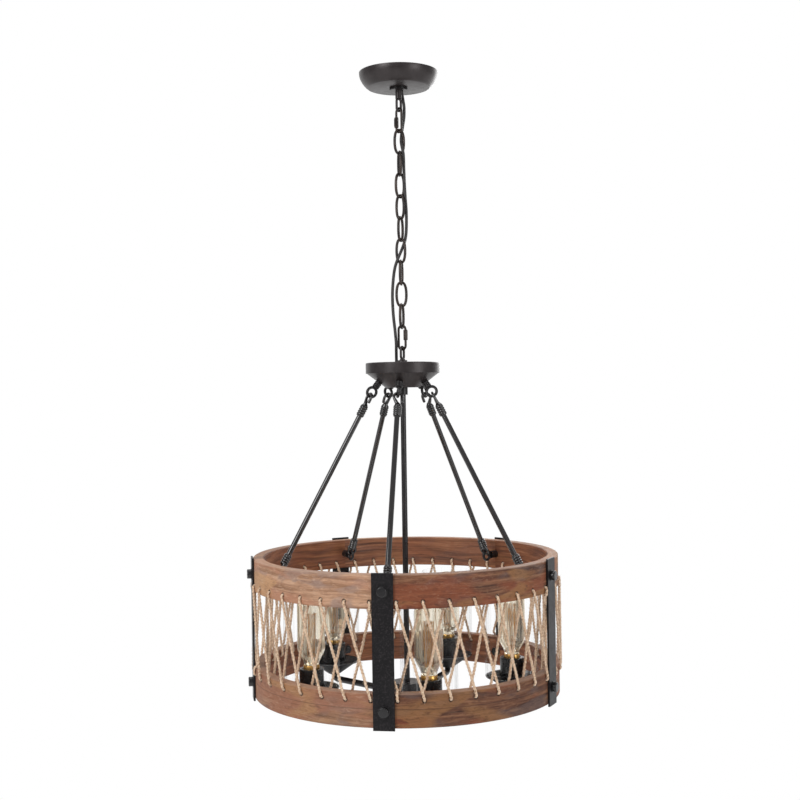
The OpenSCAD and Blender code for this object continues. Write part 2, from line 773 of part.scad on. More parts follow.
module rod(i) {
    upper_end = upper_hook_z - hook_stem;
    lower_end = lower_hook_z + hook_stem;
    color(black_iron) rotate([0, 0, drum_turn + (i - 1) * step]) translate([0, -hub_eye[0], hub_eye[1]])
        rotate([-rod_lean, 0, 0]) {
            translate([0, 0, upper_hook_z]) rotate([0, 0, upper_hook_turn + 90]) hook();
            translate([0, 0, lower_hook_z]) rotate([0, 0, lower_hook_turn + 90]) mirror([0, 0, 1]) hook();
            translate([0, 0, upper_end + 1.5 - ferrule_l]) ringed_ferrule(ferrule_l, ferrule_d);
            translate([0, 0, lower_end - 1.5]) ringed_ferrule(ferrule_l, ferrule_d);
            translate([0, 0, lower_end]) cylinder(h = upper_end - lower_end, d = rod_d);
        }
}

// Drum pieces
module hoop(bottom, lace_z, bolt_z) {
    c = ring_chamfer;
    top = bottom + ring_h;
    color(wood) difference() {
        rotate_extrude($fn = 180) polygon([
            [ring_inner_r + c, bottom], [ring_r - c, bottom], [ring_r, bottom + c], [ring_r, top - c],
            [ring_r - c, top], [ring_inner_r + c, top], [ring_inner_r, top - c], [ring_inner_r, bottom + c]
        ]);
        around(lace_turn, lace_holes) through_hoop(lace_z, lace_hole_d);
        around(drum_turn) through_hoop(bolt_z, bolt_d + 2 * loose);
    }
}

module through_hoop(z, d) {
    translate([0, -ring_r + ring_t / 2, z]) rotate([90, 0, 0]) cylinder(h = 2 * ring_t, d = d, center = true);
}

module upper_ring() {
    hoop(upper_gap_z, lace_upper_z, upper_bolt_z);
}

module lower_ring() {
    hoop(drum_bottom, lace_lower_z, lower_bolt_z);
}

module straps() {
    color(black_iron) around(drum_turn) difference() {
        translate([-strap_w / 2, -strap_face_r - strap_t, strap_bottom])
            cube([strap_w, strap_t, strap_top - strap_bottom]);
        for (z = [upper_bolt_z, lower_bolt_z]) {
            through_hoop(z, bolt_d + 2 * loose);
        }
    }
}

// A dome-headed bolt: the head's flat face is on the origin, and the shank runs along +Y
module dome_bolt(shank_l) {
    sphere_r = (bolt_head_d * bolt_head_d / 4 + bolt_head_h * bolt_head_h) / (2 * bolt_head_h);
    intersection() {
        translate([0, sphere_r - bolt_head_h, 0]) sphere(r = sphere_r);
        rotate([90, 0, 0]) cylinder(h = bolt_head_h + bite, d = bolt_head_d);
    }
    rotate([-90, 0, 0]) cylinder(h = shank_l, d = bolt_d);
}

module strap_bolts() {
    face = strap_face_r + strap_t;
    color(black_iron) around(drum_turn) {
        translate([0, -face, upper_bolt_z]) dome_bolt(face - ring_inner_r + eye_base_l - 4);
        translate([0, -face, lower_bolt_z]) dome_bolt(face - ring_inner_r + lower_nut_h + 2);
    }
}

module strap_eyes() {
    seat = ring_inner_r - 0.15;
    color(black_iron) around(drum_turn) difference() {
        union() {
            translate([0, -seat, upper_bolt_z]) rotate([-90, 0, 0]) cylinder(h = eye_base_l, d = eye_base_d);
            translate([0, -strap_eye[0], strap_eye[1]]) rotate([0, 0, 90]) eye_ring();
        }
        translate([0, -seat - bite, upper_bolt_z]) rotate([-90, 0, 0])
            cylinder(h = eye_base_l - 3 + bite, d = bolt_d + 2 * fit);
    }
}

module lower_nuts() {
    color(black_iron) around(drum_turn) translate([0, -ring_inner_r + 0.15, lower_bolt_z])
        rotate([-90, 0, 0]) hex_nut(lower_nut_h, lower_nut_af, bolt_d + 2 * fit);
}

// A lacing goes down outside the hoops and up inside them, one hole further each time. Where a strap
// is in the way, it slips under the hoop's edge and goes down behind the strap.
function polar(r, turn, z) = [r * sin(turn), -r * cos(turn), z];
function behind_strap(hole) = hole % (lace_holes / straps_n) == 0;
function lace_hole(hole, top) =
    let(turn = lace_turn + hole * lace_step,
        down = top ? -1 : 1,
        z = top ? lace_upper_z : lace_lower_z,
        edge = z + down * lace_inset,
        inside = [polar(twine_in_r, turn, z + down * twine_r), polar(twine_in_r + twine_r, turn, z)],
        outside = [polar(twine_out_r - twine_r, turn, z), polar(twine_out_r, turn, z + down * twine_r)],
        tucked = behind_strap(top ? hole + 1 : hole) ? [
            polar(twine_out_r, turn, edge + down * 1.2),
            polar(ring_r - twine_r - 0.5, turn, edge + down * 4.5)] : [])
    [each inside, each outside, each tucked];
function reversed(p) = [for (i = [len(p) - 1 : -1 : 0]) p[i]];
function lacing(first) = [
    for (j = [0 : lace_holes - 1])
        each (j % 2 == 0 ? lace_hole(first + j, true) : reversed(lace_hole(first + j, false)))
];
function along_runs(p, cuts) = [
    for (i = [0 : len(p) - 1], k = [0 : cuts - 1]) p[i] + (p[(i + 1) % len(p)] - p[i]) * k / cuts
];
function least_gap(p, first_points, skip, d) = min([
    for (i = [0 : first_points - 1], j = [i + skip : len(p) - 1 - skip]) norm(p[i] - p[j])
]) - d;

module twine(first) {
    route = lacing(first);
    cuts = 6;
    echo("twine", first = first, length_mm = route_length(route), least_gap_to_itself_mm
        = least_gap(along_runs(route, cuts), 8 * cuts, 4 * cuts, twine_d));
    color(jute) closed_tube(route, twine_r, twine_sides);
}

// Light cluster
module centre_tube() {
    color(black_iron) translate([0, 0, tube_bottom]) tube(tube_top - tube_bottom, tube_d, tube_bore);
}

module centre_collar() {
    color(black_iron) translate([0, 0, cone_bottom - coupling_h])
        tube(coupling_h, coupling_d, nipple_d + 2 * fit);
}

module canister() {
    color(black_iron) difference() {
        translate([0, 0, canister_bottom]) cylinder(h = canister_h, d = canister_d);
        translate([0, 0, canister_bottom - bite])
            cylinder(h = canister_h - canister_wall + bite, d = canister_d - 2 * canister_wall);
        translate([0, 0, canister_top - 2 * canister_wall])
            cylinder(h = 3 * canister_wall, d = tube_d + 2 * fit);
        around(light_turn) translate([0, 0, arm_z]) rotate([90, 0, 0])
            cylinder(h = canister_d, d = arm_d + 2 * fit);
    }
}

module canister_lid() {
    color(black_iron) translate([0, 0, canister_bottom - 2]) {
        cylinder(h = 2, d = canister_d);
        translate([0, 0, 2]) cylinder(h = 3, d = canister_d - 2 * canister_wall - 0.2);
        translate([0, 0, -4]) cylinder(h = 4, d1 = 8, d2 = 14);
    }
}

// The run of one arm at the front: out from the canister, a quarter turn and up into the socket
module arm_run(from_r, d) {
    bend_r = light_r - arm_bend;
    translate([0, -from_r, arm_z]) rotate([90, 0, 0]) cylinder(h = bend_r - from_r, d = d);
    translate([0, -bend_r, arm_z + arm_bend]) rotate([0, 90, 0]) rotate([0, 0, -90])
        rotate_extrude(angle = 90) translate([arm_bend, 0]) circle(d = d);
    translate([0, -light_r, arm_z + arm_bend]) cylinder(h = arm_end_z - arm_z - arm_bend, d = d);
}

module arms() {
    color(black_iron) around(light_turn) difference() {
        arm_run(canister_d / 2 - 5, arm_d);
        arm_run(canister_d / 2 - 5 - bite, arm_bore);
        translate([0, -light_r, arm_end_z - bite]) cylinder(h = 2 * bite, d = arm_bore);
    }
}

// A hollow dish under each plate, with the arm's end through its floor
module cups() {
    flare = (cup_d - cup_bottom_d) / cup_h;
    side = cup_wall * norm([1, flare / 2]);
    inner_d = cup_bottom_d - 2 * side + cup_wall * flare;
    color(black_iron) around(light_turn) translate([0, -light_r, plate_bottom - cup_h]) difference() {
        cylinder(h = cup_h, d1 = cup_bottom_d, d2 = cup_d);
        translate([0, 0, cup_wall]) cylinder(h = cup_h, d1 = inner_d, d2 = inner_d + cup_h * flare);
        translate([0, 0, -bite]) cylinder(h = cup_h, d = stem_hole_d);
    }
}

module plates() {
    color(black_iron) around(light_turn) translate([0, -light_r, plate_bottom]) difference() {
        cylinder(h = plate_t, d = plate_d);
        translate([0, 0, -bite]) cylinder(h = plate_t + 2 * bite, d = socket_hole_d);
    }
}

module shades() {
    color(clear_glass, 0.35) around(light_turn) translate([0, -light_r, plate_z]) difference() {
        cylinder(h = shade_h, d = shade_d, $fn = 96);
        translate([0, 0, shade_bottom_t]) cylinder(h = shade_h, d = shade_d - 2 * shade_wall, $fn = 96);
        translate([0, 0, -bite]) cylinder(h = shade_bottom_t + 2 * bite, d = socket_hole_d);
    }
}

module sockets() {
    color(black_iron) around(light_turn) translate([0, -light_r, 0]) difference() {
        translate([0, 0, socket_z]) cylinder(h = socket_h, d = socket_d);
        translate([0, 0, base_z - 0.2]) cylinder(h = base_depth + bite, d = base_d + 2 * fit);
        translate([0, 0, socket_z - bite]) cylinder(h = arm_end_z - socket_z + 0.2 + bite, d = stem_hole_d);
    }
}

module harness() {
    core_d = nipple_bore - 1;
    color(cord_black) {
        translate([0, 0, arm_z]) cylinder(h = lead_hole_z - 3.5 - arm_z, d = core_d);
        around(light_turn) arm_run(0, arm_bore - 1.2);
    }
}

// Half outline of a bulb's glass: a neck that swells to the full width, a straight wall and a round end
neck_r = base_d / 2 - 1;
function bulb_outline(inset) = [
    for (t = [0 : 10 : 90])
        [neck_r + (bulb_d / 2 - neck_r) * (1 - cos(2 * t)) / 2 - inset, bulb_swell_l * t / 90],
    for (t = [0 : 10 : 80])
        [(bulb_d / 2 - inset) * cos(t), bulb_l - bulb_end_l + (bulb_end_l - inset) * sin(t)]
];

module bulb(i) {
    outer = bulb_outline(0);
    inner = bulb_outline(bulb_wall);
    rotate([0, 0, light_turn + (i - 1) * step]) translate([0, -light_r, 0]) {
        color(amber_glass, 0.5) translate([0, 0, glass_z]) rotate_extrude() polygon([
            each outer, [0, bulb_l], [0, bulb_l - bulb_wall], for (k = [len(inner) - 1 : -1 : 0]) inner[k]
        ]);
        color(copper) translate([0, 0, base_z]) cylinder(h = glass_z - base_z, d = base_d);
    }
}

ceiling_bar();
ceiling_nipple();
ceiling_nut();
ground_screw();
ceiling_loop();
collar_ring();
canopy();
supply_leads();
wire_nuts();
quick_link(bearing_0, upper_quick_turn);  // upper_quick_link
upper_link_sleeve();
chain_link(1);  // chain_link_1
chain_link(2);  // chain_link_2
chain_link(3);  // chain_link_3
chain_link(4);  // chain_link_4
chain_link(5);  // chain_link_5
chain_link(6);  // chain_link_6
chain_link(7);  // chain_link_7
chain_link(8);  // chain_link_8
chain_link(9);  // chain_link_9
quick_link(bearing_10, lower_quick_turn);  // lower_quick_link
lower_link_sleeve();
power_cord();
hub_loop();
hub_cap();
hub_cone();
hub_nipple();
hub_nuts();
hub_grommet();
hub_eyes();
hub_eye_nuts();
hub_splices();
rod(1);  // rod_1
rod(2);  // rod_2
rod(3);  // rod_3
rod(4);  // rod_4
rod(5);  // rod_5
upper_ring();
lower_ring();
straps();
strap_bolts();
strap_eyes();
lower_nuts();
twine(0);  // twine_a
twine(1);  // twine_b
centre_tube();
centre_collar();
canister();
canister_lid();
arms();
cups();
plates();
shades();
sockets();
harness();
bulb(1);  // bulb_1
bulb(2);  // bulb_2
bulb(3);  // bulb_3
bulb(4);  // bulb_4
bulb(5);  // bulb_5
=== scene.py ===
import math
import random

import bmesh
import bpy
from mathutils import Matrix, Vector


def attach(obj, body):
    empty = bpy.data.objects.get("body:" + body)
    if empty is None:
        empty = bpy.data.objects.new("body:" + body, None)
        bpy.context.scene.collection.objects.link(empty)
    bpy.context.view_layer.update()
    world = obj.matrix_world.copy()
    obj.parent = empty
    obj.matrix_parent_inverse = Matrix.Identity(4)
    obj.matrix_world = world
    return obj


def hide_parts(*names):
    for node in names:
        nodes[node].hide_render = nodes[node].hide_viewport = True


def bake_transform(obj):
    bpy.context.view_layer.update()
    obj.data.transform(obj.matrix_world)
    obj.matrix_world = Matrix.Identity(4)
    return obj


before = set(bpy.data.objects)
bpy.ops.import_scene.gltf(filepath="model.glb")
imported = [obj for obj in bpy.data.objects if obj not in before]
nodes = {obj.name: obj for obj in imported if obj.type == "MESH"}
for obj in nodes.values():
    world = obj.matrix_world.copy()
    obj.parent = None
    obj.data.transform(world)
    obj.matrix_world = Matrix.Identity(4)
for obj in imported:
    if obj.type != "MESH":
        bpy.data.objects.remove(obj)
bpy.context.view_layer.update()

# Places of the CAD model, in millimetres and degrees
MM = 0.001
ARMS = 5
ARM_STEP = 360 / ARMS
DRUM_TURN = -8
LINKS = 9
UPPER_HOOP_TOP, LOWER_HOOP_TOP = -795, -968
BETWEEN_HOOPS = -900
LACE_HOLES = 40
LACE_PITCH = 360 / LACE_HOLES
LACE_TURN = -3.5
LACE_HIGH, LACE_LOW = -833.5, -977.5

# Camera, level but for a slight roll, at the place that matches the photograph
CAMERA_ROLL = 0.0147
camera_data = bpy.data.cameras.new("camera")
camera_data.sensor_width = 36
camera_data.lens = 55.35
camera = bpy.data.objects.new("camera", camera_data)
bpy.context.scene.collection.objects.link(camera)
camera.location = (-0.00506, -2.032, -0.5406)
camera.rotation_euler = (math.radians(90), CAMERA_ROLL, 0)
bpy.context.scene.camera = camera
bpy.context.scene.view_settings.view_transform = "Standard"


# Materials
class Nodes:
    """A small helper that builds a node tree in a material."""

    def __init__(self, name):
        self.mat = bpy.data.materials.new(name)
        self.mat.use_nodes = True
        self.tree = self.mat.node_tree
        self.tree.nodes.clear()
        self.out = self.add("ShaderNodeOutputMaterial")
        self.coords = self.add("ShaderNodeTexCoord").outputs["Object"]

    def add(self, kind, **settings):
        node = self.tree.nodes.new(kind)
        for key, value in settings.items():
            setattr(node, key, value)
        return node

    def put(self, socket, value):
        """Links another node's output to the socket, or sets a plain value on it."""
        if isinstance(value, bpy.types.NodeSocket):
            self.tree.links.new(value, socket)
        else:
            socket.default_value = value

    def axes(self):
        node = self.add("ShaderNodeSeparateXYZ")
        self.put(node.inputs[0], self.coords)
        return node.outputs

    def noise(self, scale, detail=4.0, rough=0.55, vector=None, distortion=0.0):
        node = self.add("ShaderNodeTexNoise")
        self.put(node.inputs["Vector"], vector or self.coords)
        self.put(node.inputs["Scale"], scale)
        self.put(node.inputs["Detail"], detail)
        self.put(node.inputs["Roughness"], rough)
        self.put(node.inputs["Distortion"], distortion)
        return node.outputs["Fac"]

    def ramp(self, fac, *stops, steps=False):
        """Colours at places along fac, blended, or in steps."""
        node = self.add("ShaderNodeValToRGB")
        self.put(node.inputs["Fac"], fac)
        if steps:
            node.color_ramp.interpolation = "CONSTANT"
        marks = node.color_ramp.elements
        while len(marks) < len(stops):
            marks.new(0.5)
        for mark, (place, colour) in zip(marks, stops):
            mark.position = place
            mark.color = (*colour, 1)
        return node.outputs["Color"]

    def math(self, operation, a, b=0.0, c=None, clamp=False):
        node = self.add("ShaderNodeMath", operation=operation, use_clamp=clamp)
        self.put(node.inputs[0], a)
        self.put(node.inputs[1], b)
        if c is not None:
            self.put(node.inputs[2], c)
        return node.outputs[0]

    def length(self, a, b):
        """The length of a line that runs a one way and b across it."""
        return self.math("SQRT", self.math("ADD", self.math("MULTIPLY", a, a), self.math("MULTIPLY", b, b)))

    def span(self, value, from_low, from_high, to_low, to_high):
        node = self.add("ShaderNodeMapRange")
        for i, entry in enumerate((value, from_low, from_high, to_low, to_high)):
            self.put(node.inputs[i], entry)
        return node.outputs[0]

    def mix(self, fac, a, b, blend="MIX"):
        node = self.add("ShaderNodeMix", data_type="RGBA", blend_type=blend)
        self.put(node.inputs["Factor"], fac)
        for socket, value in ((node.inputs[6], a), (node.inputs[7], b)):
            self.put(socket, (*value, 1) if isinstance(value, tuple) else value)
        return node.outputs[2]

    def bump(self, height, strength, distance):
        node = self.add("ShaderNodeBump")
        self.put(node.inputs["Height"], height)
        self.put(node.inputs["Strength"], strength)
        self.put(node.inputs["Distance"], distance)
        return node.outputs["Normal"]

    def stretched(self, scale, vector=None):
        node = self.add("ShaderNodeMapping")
        self.put(node.inputs["Vector"], vector or self.coords)
        self.put(node.inputs["Scale"], scale)
        return node.outputs["Vector"]

    def principled(self, **values):
        node = self.add("ShaderNodeBsdfPrincipled")
        for key, value in values.items():
            self.put(node.inputs[key.replace("_", " ")], value)
        self.put(self.out.inputs["Surface"], node.outputs["BSDF"])


def metal(name, dark, light, rough, spec, grain, relief, metallic=0.0, fleck=None):
    """Satin painted metal: slow colour drift, fine paint grain and, with fleck, paler specks."""
    m = Nodes(name)
    base = m.ramp(m.noise(45, 4), (0.35, dark), (0.68, light))
    if fleck:
        base = m.mix(m.span(m.noise(grain * 0.55, 3, 0.75), 0.5, 0.66, 0, 0.75), base, fleck)
    m.principled(
        Base_Color=base, Metallic=metallic, Specular_IOR_Level=spec,
        Roughness=m.span(m.noise(90, 4), 0.3, 0.7, *rough),
        Normal=m.bump(m.noise(grain, 3, 0.6), relief, 0.0003),
    )
    return m.mat


# The wood of the hoops: how pale each of their five lengths is, and the colours of the grain
UPPER_TONES = (0.0, 0.3, 0.7, 0.15, 1.0)
LOWER_TONES = (0.0, 0.25, 0.5, 0.1, 0.62)
GRAIN_STOPS = (0.32, 0.45, 0.56, 0.72)
LIGHT_GRAIN = ((0.24, 0.115, 0.06), (0.43, 0.232, 0.135), (0.57, 0.33, 0.205), (0.68, 0.42, 0.28))
DARK_GRAIN = ((0.045, 0.018, 0.011), (0.13, 0.05, 0.026), (0.225, 0.094, 0.045), (0.37, 0.185, 0.095))
# In metres: the glue line's height, the arc between two lacing holes, and the radius that parts a hoop's
# inner face from the rest of it
GLUE_LINE = -0.9895
LACE_ARC = 0.0393
INNER_FACE = 0.234


def wood_lengths(m, angle, upper):
    """The number of the length of wood at an angle, and how pale that length is."""
    number = m.math("FLOOR", m.math("MULTIPLY_ADD", angle, ARMS / (2 * math.pi), 0.111))
    place = m.math("FRACT", m.math("MULTIPLY_ADD", number, 1 / ARMS, 0.1))
    tones = []
    for levels in (LOWER_TONES, UPPER_TONES):
        stops = [(k / ARMS, (level, level, level)) for k, level in enumerate(levels)]
        tones.append(m.ramp(place, *stops, steps=True))
    return number, m.mix(upper, *tones)


def wood_colour(m, flat, pale, grain, fine, dark_wood):
    """Grain with layers of stains, blots and fine lines over it; flat is the unrolled place."""
    patch = m.noise(1.0, 3, 0.55, m.stretched((11, 30, 20), flat), 0.9)
    stain = m.noise(1.0, 2, 0.5, m.stretched((6, 22, 17), flat), 0.4)
    amber = m.noise(1.0, 2, 0.5, m.stretched((8, 26, 23), flat), 0.6)
    blot = m.noise(1.0, 5, 0.7, m.stretched((60, 210, 100), flat), 1.2)
    base = m.mix(pale, dark_wood, m.ramp(grain, *zip(GRAIN_STOPS, LIGHT_GRAIN)))
    # mask, the levels where it starts and is full, its strength, and its colours on dark and on pale wood
    layers = (
        (patch, 0.5, 0.6, 0.78, (0.135, 0.085, 0.074), (0.34, 0.23, 0.19)),
        (stain, 0.5, 0.58, 0.8, (0.25, 0.066, 0.026), (0.50, 0.235, 0.14)),
        (amber, 0.52, 0.6, 0.7, (0.33, 0.155, 0.058), (0.60, 0.34, 0.165)),
        (blot, 0.52, 0.68, 0.62, (0.05, 0.022, 0.015), (0.26, 0.135, 0.08)),
        (blot, 0.46, 0.34, 0.4, (0.36, 0.2, 0.12), (0.72, 0.5, 0.36)),
        (fine, 0.53, 0.68, 0.6, (0.06, 0.028, 0.018), (0.24, 0.125, 0.075)),
    )
    for mask, start, full, strength, on_dark, on_pale in layers:
        base = m.mix(m.span(mask, start, full, 0, strength), base, m.mix(pale, on_dark, on_pale))
    return base


def lacing_shadow(m, angle, z):
    """How dark a point is for a lacing hole at it: nearly black in the hole, and fading round its edge."""
    turns = m.math("MULTIPLY_ADD", angle, LACE_HOLES / (2 * math.pi), 0.5 - LACE_TURN / LACE_PITCH)
    across = m.math("MULTIPLY", m.math("SUBTRACT", m.math("FRACT", turns), 0.5), LACE_ARC)
    rises = [m.math("ABSOLUTE", m.math("ADD", z, -height * MM)) for height in (LACE_HIGH, LACE_LOW)]
    away = m.length(across, m.math("MINIMUM", *rises))
    return m.span(away, 0.0026, 0.0042, 0.95, 0)


def wood_material(name):
    """Hoops of five lengths that meet under the straps: grain along the hoop, stains, dark lacing holes."""
    m = Nodes(name)
    x, y, z = m.axes()
    angle = m.math("ARCTAN2", x, m.math("MULTIPLY", y, -1.0))
    radius = m.length(x, y)
    upper = m.math("GREATER_THAN", z, BETWEEN_HOOPS * MM)
    lower = m.math("SUBTRACT", 1.0, upper)
    number, pale = wood_lengths(m, angle, upper)
    # unrolled: along the hoop, up, and through the thickness
    unrolled = m.add("ShaderNodeCombineXYZ")
    m.put(unrolled.inputs[0], m.math("MULTIPLY_ADD", number, 1.7, m.math("MULTIPLY", angle, 0.25)))
    wave = m.noise(1.0, 2, 0.5, m.stretched((7, 7, 9)))
    m.put(unrolled.inputs[1], m.math("MULTIPLY_ADD", wave, 0.016, z))
    m.put(unrolled.inputs[2], radius)
    flat = unrolled.outputs[0]
    grain = m.noise(1.0, 7, 0.62, m.stretched((8, 170, 140), flat), 0.5)
    fine = m.noise(1.0, 4, 0.7, m.stretched((40, 1400, 900), flat))
    dark_wood = m.ramp(grain, *zip(GRAIN_STOPS, DARK_GRAIN))
    base = wood_colour(m, flat, pale, grain, fine, dark_wood)
    # the lower hoop is a little darker
    base = m.mix(m.math("MULTIPLY", lower, 0.34), base, m.mix(1.0, base, (0.62, 0.55, 0.5), "MULTIPLY"))
    # the glue line half way up the lower hoop, and the paler sanded rims
    line = m.span(m.math("ABSOLUTE", m.math("ADD", z, -GLUE_LINE)), 0.0002, 0.0011, 0.55, 0)
    base = m.mix(line, base, m.mix(pale, (0.04, 0.018, 0.012), (0.16, 0.08, 0.05)))
    upper_rim, lower_rim = (m.span(z, top * MM - 0.0006, top * MM + 0.0006, 0, 1)
                            for top in (UPPER_HOOP_TOP, LOWER_HOOP_TOP))
    rim = m.math("MAXIMUM", upper_rim, m.math("MULTIPLY", lower_rim, lower))
    base = m.mix(m.math("MULTIPLY", rim, 0.45), base, (0.46, 0.29, 0.20))
    # inner faces are redder and darker
    inside = m.span(radius, INNER_FACE - 0.0005, INNER_FACE + 0.0005, 1, 0)
    inner_wood = m.mix(1.0, dark_wood, (1.2, 0.95, 0.8), "MULTIPLY")
    base = m.mix(m.math("MULTIPLY", inside, 0.75), base, inner_wood)
    base = m.mix(lacing_shadow(m, angle, z), base, (0.02, 0.011, 0.008))
    height = m.math("ADD", m.math("MULTIPLY", grain, 0.6), m.math("MULTIPLY", fine, 0.4))
    m.principled(Base_Color=base, Roughness=m.span(grain, 0.2, 0.8, 0.76, 0.55), Specular_IOR_Level=0.35,
                 Normal=m.bump(height, 0.3, 0.0006))
    return m.mat


def jute_material(name):
    """Pale twisted jute with darker flecks and a soft sheen."""
    m = Nodes(name)
    strand = m.noise(420, 5, 0.65)
    fleck = m.noise(1600, 3, 0.7)
    colour = m.ramp(strand, (0.3, (0.36, 0.20, 0.11)), (0.47, (0.72, 0.49, 0.32)), (0.66, (0.97, 0.79, 0.61)))
    colour = m.mix(m.span(fleck, 0.58, 0.75, 0, 0.5), colour, (0.27, 0.15, 0.085))
    m.principled(Base_Color=colour, Roughness=0.9, Sheen_Weight=0.25, Sheen_Roughness=0.5,
                 Normal=m.bump(fleck, 0.4, 0.0004))
    return m.mat


def stem_glass_material(name):
    """Clear glass of the stem inside a bulb, a little warm."""
    m = Nodes(name)
    colour = m.mix(m.span(m.noise(26, 2), 0.3, 0.7, 0, 0.5), (0.95, 0.93, 0.88), (0.969, 0.9486, 0.8976))
    m.principled(Base_Color=colour, Transmission_Weight=1.0, Roughness=0.01, IOR=1.25)
    return m.mat


def bulb_glass_material(name):
    """Amber-tinted clear glass with cream upright streaks, where the light catches it."""
    m = Nodes(name)
    painted_light_streak = m.noise(1.0, 3, 0.55, m.stretched((190, 190, 6)))
    clear = m.span(painted_light_streak, 0.44, 0.66, 0.93, 0.45)
    colour = m.mix(m.span(painted_light_streak, 0.44, 0.66, 0, 1), (1.0, 0.94, 0.8), (1.0, 0.9, 0.7))
    ripple = m.noise(1.0, 2, 0.5, m.stretched((60, 60, 5)))
    m.principled(
        Base_Color=colour, Transmission_Weight=clear, Roughness=0.01, IOR=1.07, Coat_Weight=0.8,
        Coat_Roughness=0.02, Normal=m.bump(ripple, 0.03, 0.0004),
    )
    return m.mat


def cylinder_glass_material(name):
    """Thin drawn glass: nearly clear, with faint upright streaks that are painted reflections, and grey where
    it is seen edge on.
    """
    m = Nodes(name)
    painted_light_streak = m.noise(1.0, 3, 0.6, m.stretched((150, 150, 2.5)))
    # the faint upright streaks are painted reflections, fixed on the glass
    reflection_veil = m.span(painted_light_streak, 0.5, 0.7, 0.0, 0.07)
    edge = m.add("ShaderNodeLayerWeight")
    m.put(edge.inputs["Blend"], 0.5)
    side = m.math("POWER", edge.outputs["Facing"], 5.0)
    alpha = m.math("ADD", reflection_veil, m.math("MULTIPLY", side, 0.36), clamp=True)
    colour = m.ramp(m.noise(30, 2), (0.3, (0.16, 0.165, 0.165)), (0.7, (0.26, 0.265, 0.265)))
    m.principled(Base_Color=colour, Roughness=0.04, Specular_IOR_Level=0.4, Alpha=alpha)
    return m.mat


def plastic_material(name, dark, light, rough=(0.3, 0.45)):
    """Moulded plastic with a slow drift of colour and a fine skin."""
    m = Nodes(name)
    colour = m.ramp(m.noise(70, 4), (0.3, dark), (0.7, light))
    m.principled(Base_Color=colour, Roughness=m.span(m.noise(160, 3), 0.3, 0.7, *rough),
                 Normal=m.bump(m.noise(1400, 2), 0.08, 0.0002))
    return m.mat


def bright_metal(name, dark, light, rough):
    """Bare metal with fine lines round it."""
    m = Nodes(name)
    colour = m.ramp(m.noise(90, 5), (0.3, dark), (0.7, light))
    lines = m.noise(1.0, 3, 0.6, m.stretched((400, 400, 2600)))
    m.principled(Base_Color=colour, Metallic=1.0, Roughness=m.span(m.noise(150, 4), 0.3, 0.7, *rough),
                 Normal=m.bump(lines, 0.1, 0.0002))
    return m.mat


def cloth_cord_material(name):
    """Black cloth-covered cord, with rings of weave along it."""
    m = Nodes(name)
    weave = m.math("SINE", m.math("MULTIPLY", m.axes()[2], 4200.0))
    colour = m.ramp(m.noise(300, 3), (0.3, (0.018, 0.016, 0.016)), (0.7, (0.045, 0.04, 0.038)))
    m.principled(Base_Color=colour, Roughness=m.span(weave, -1, 1, 0.46, 0.6),
                 Normal=m.bump(weave, 0.15, 0.0002))
    return m.mat


bronze = metal("dark_bronze", (0.026, 0.020, 0.020), (0.042, 0.034, 0.034),
               rough=(0.3, 0.4), spec=0.5, grain=1500, relief=0.06, metallic=0.35)
chain_metal = metal("chain_bronze", (0.012, 0.009, 0.008), (0.05, 0.033, 0.026),
                    rough=(0.22, 0.36), spec=0.5, grain=900, relief=0.1, metallic=0.35)
iron = metal("black_iron", (0.007, 0.006, 0.006), (0.017, 0.014, 0.015),
             rough=(0.26, 0.38), spec=0.45, grain=1300, relief=0.08)
rod_metal = metal("rod_iron", (0.004, 0.003, 0.003), (0.011, 0.007, 0.007),
                  rough=(0.07, 0.1), spec=1.0, grain=60, relief=0.0)
strap_metal = metal("strap_iron", (0.003, 0.0022, 0.003), (0.006, 0.005, 0.006),
                    rough=(0.36, 0.46), spec=0.28, grain=700, relief=0.3, fleck=(0.036, 0.029, 0.032))
bolt_black = metal("bolt_black", (0.004, 0.0035, 0.004), (0.011, 0.009, 0.01),
                   rough=(0.16, 0.22), spec=0.6, grain=900, relief=0.02)
cup_black = metal("cup_black", (0.0025, 0.0025, 0.003), (0.006, 0.0055, 0.006),
                  rough=(0.42, 0.5), spec=0.06, grain=900, relief=0.0)
lip_black = metal("lip_black", (0.004, 0.004, 0.0045), (0.009, 0.008, 0.009),
                  rough=(0.08, 0.11), spec=1.0, grain=60, relief=0.0)
zinc = bright_metal("zinc", (0.45, 0.46, 0.47), (0.66, 0.67, 0.68), (0.25, 0.42))
brass = bright_metal("brass", (0.50, 0.27, 0.07), (0.78, 0.48, 0.16), (0.2, 0.36))
filament_metal = bright_metal("filament", (0.42, 0.19, 0.05), (0.66, 0.36, 0.12), (0.35, 0.5))
wood = wood_material("hoop_wood")
jute = jute_material("jute_twine")
shade_glass = cylinder_glass_material("shade_glass")
bulb_glass = bulb_glass_material("bulb_glass")
stem_glass = stem_glass_material("stem_glass")
socket_black = plastic_material("socket_black", (0.004, 0.004, 0.0045), (0.010, 0.0095, 0.010), (0.24, 0.34))
orange = plastic_material("connector_orange", (0.50, 0.14, 0.02), (0.68, 0.22, 0.03))
lead_plastic = plastic_material("lead_plastic", (0.03, 0.03, 0.03), (0.09, 0.09, 0.09))
cord_skin = cloth_cord_material("cord_skin")

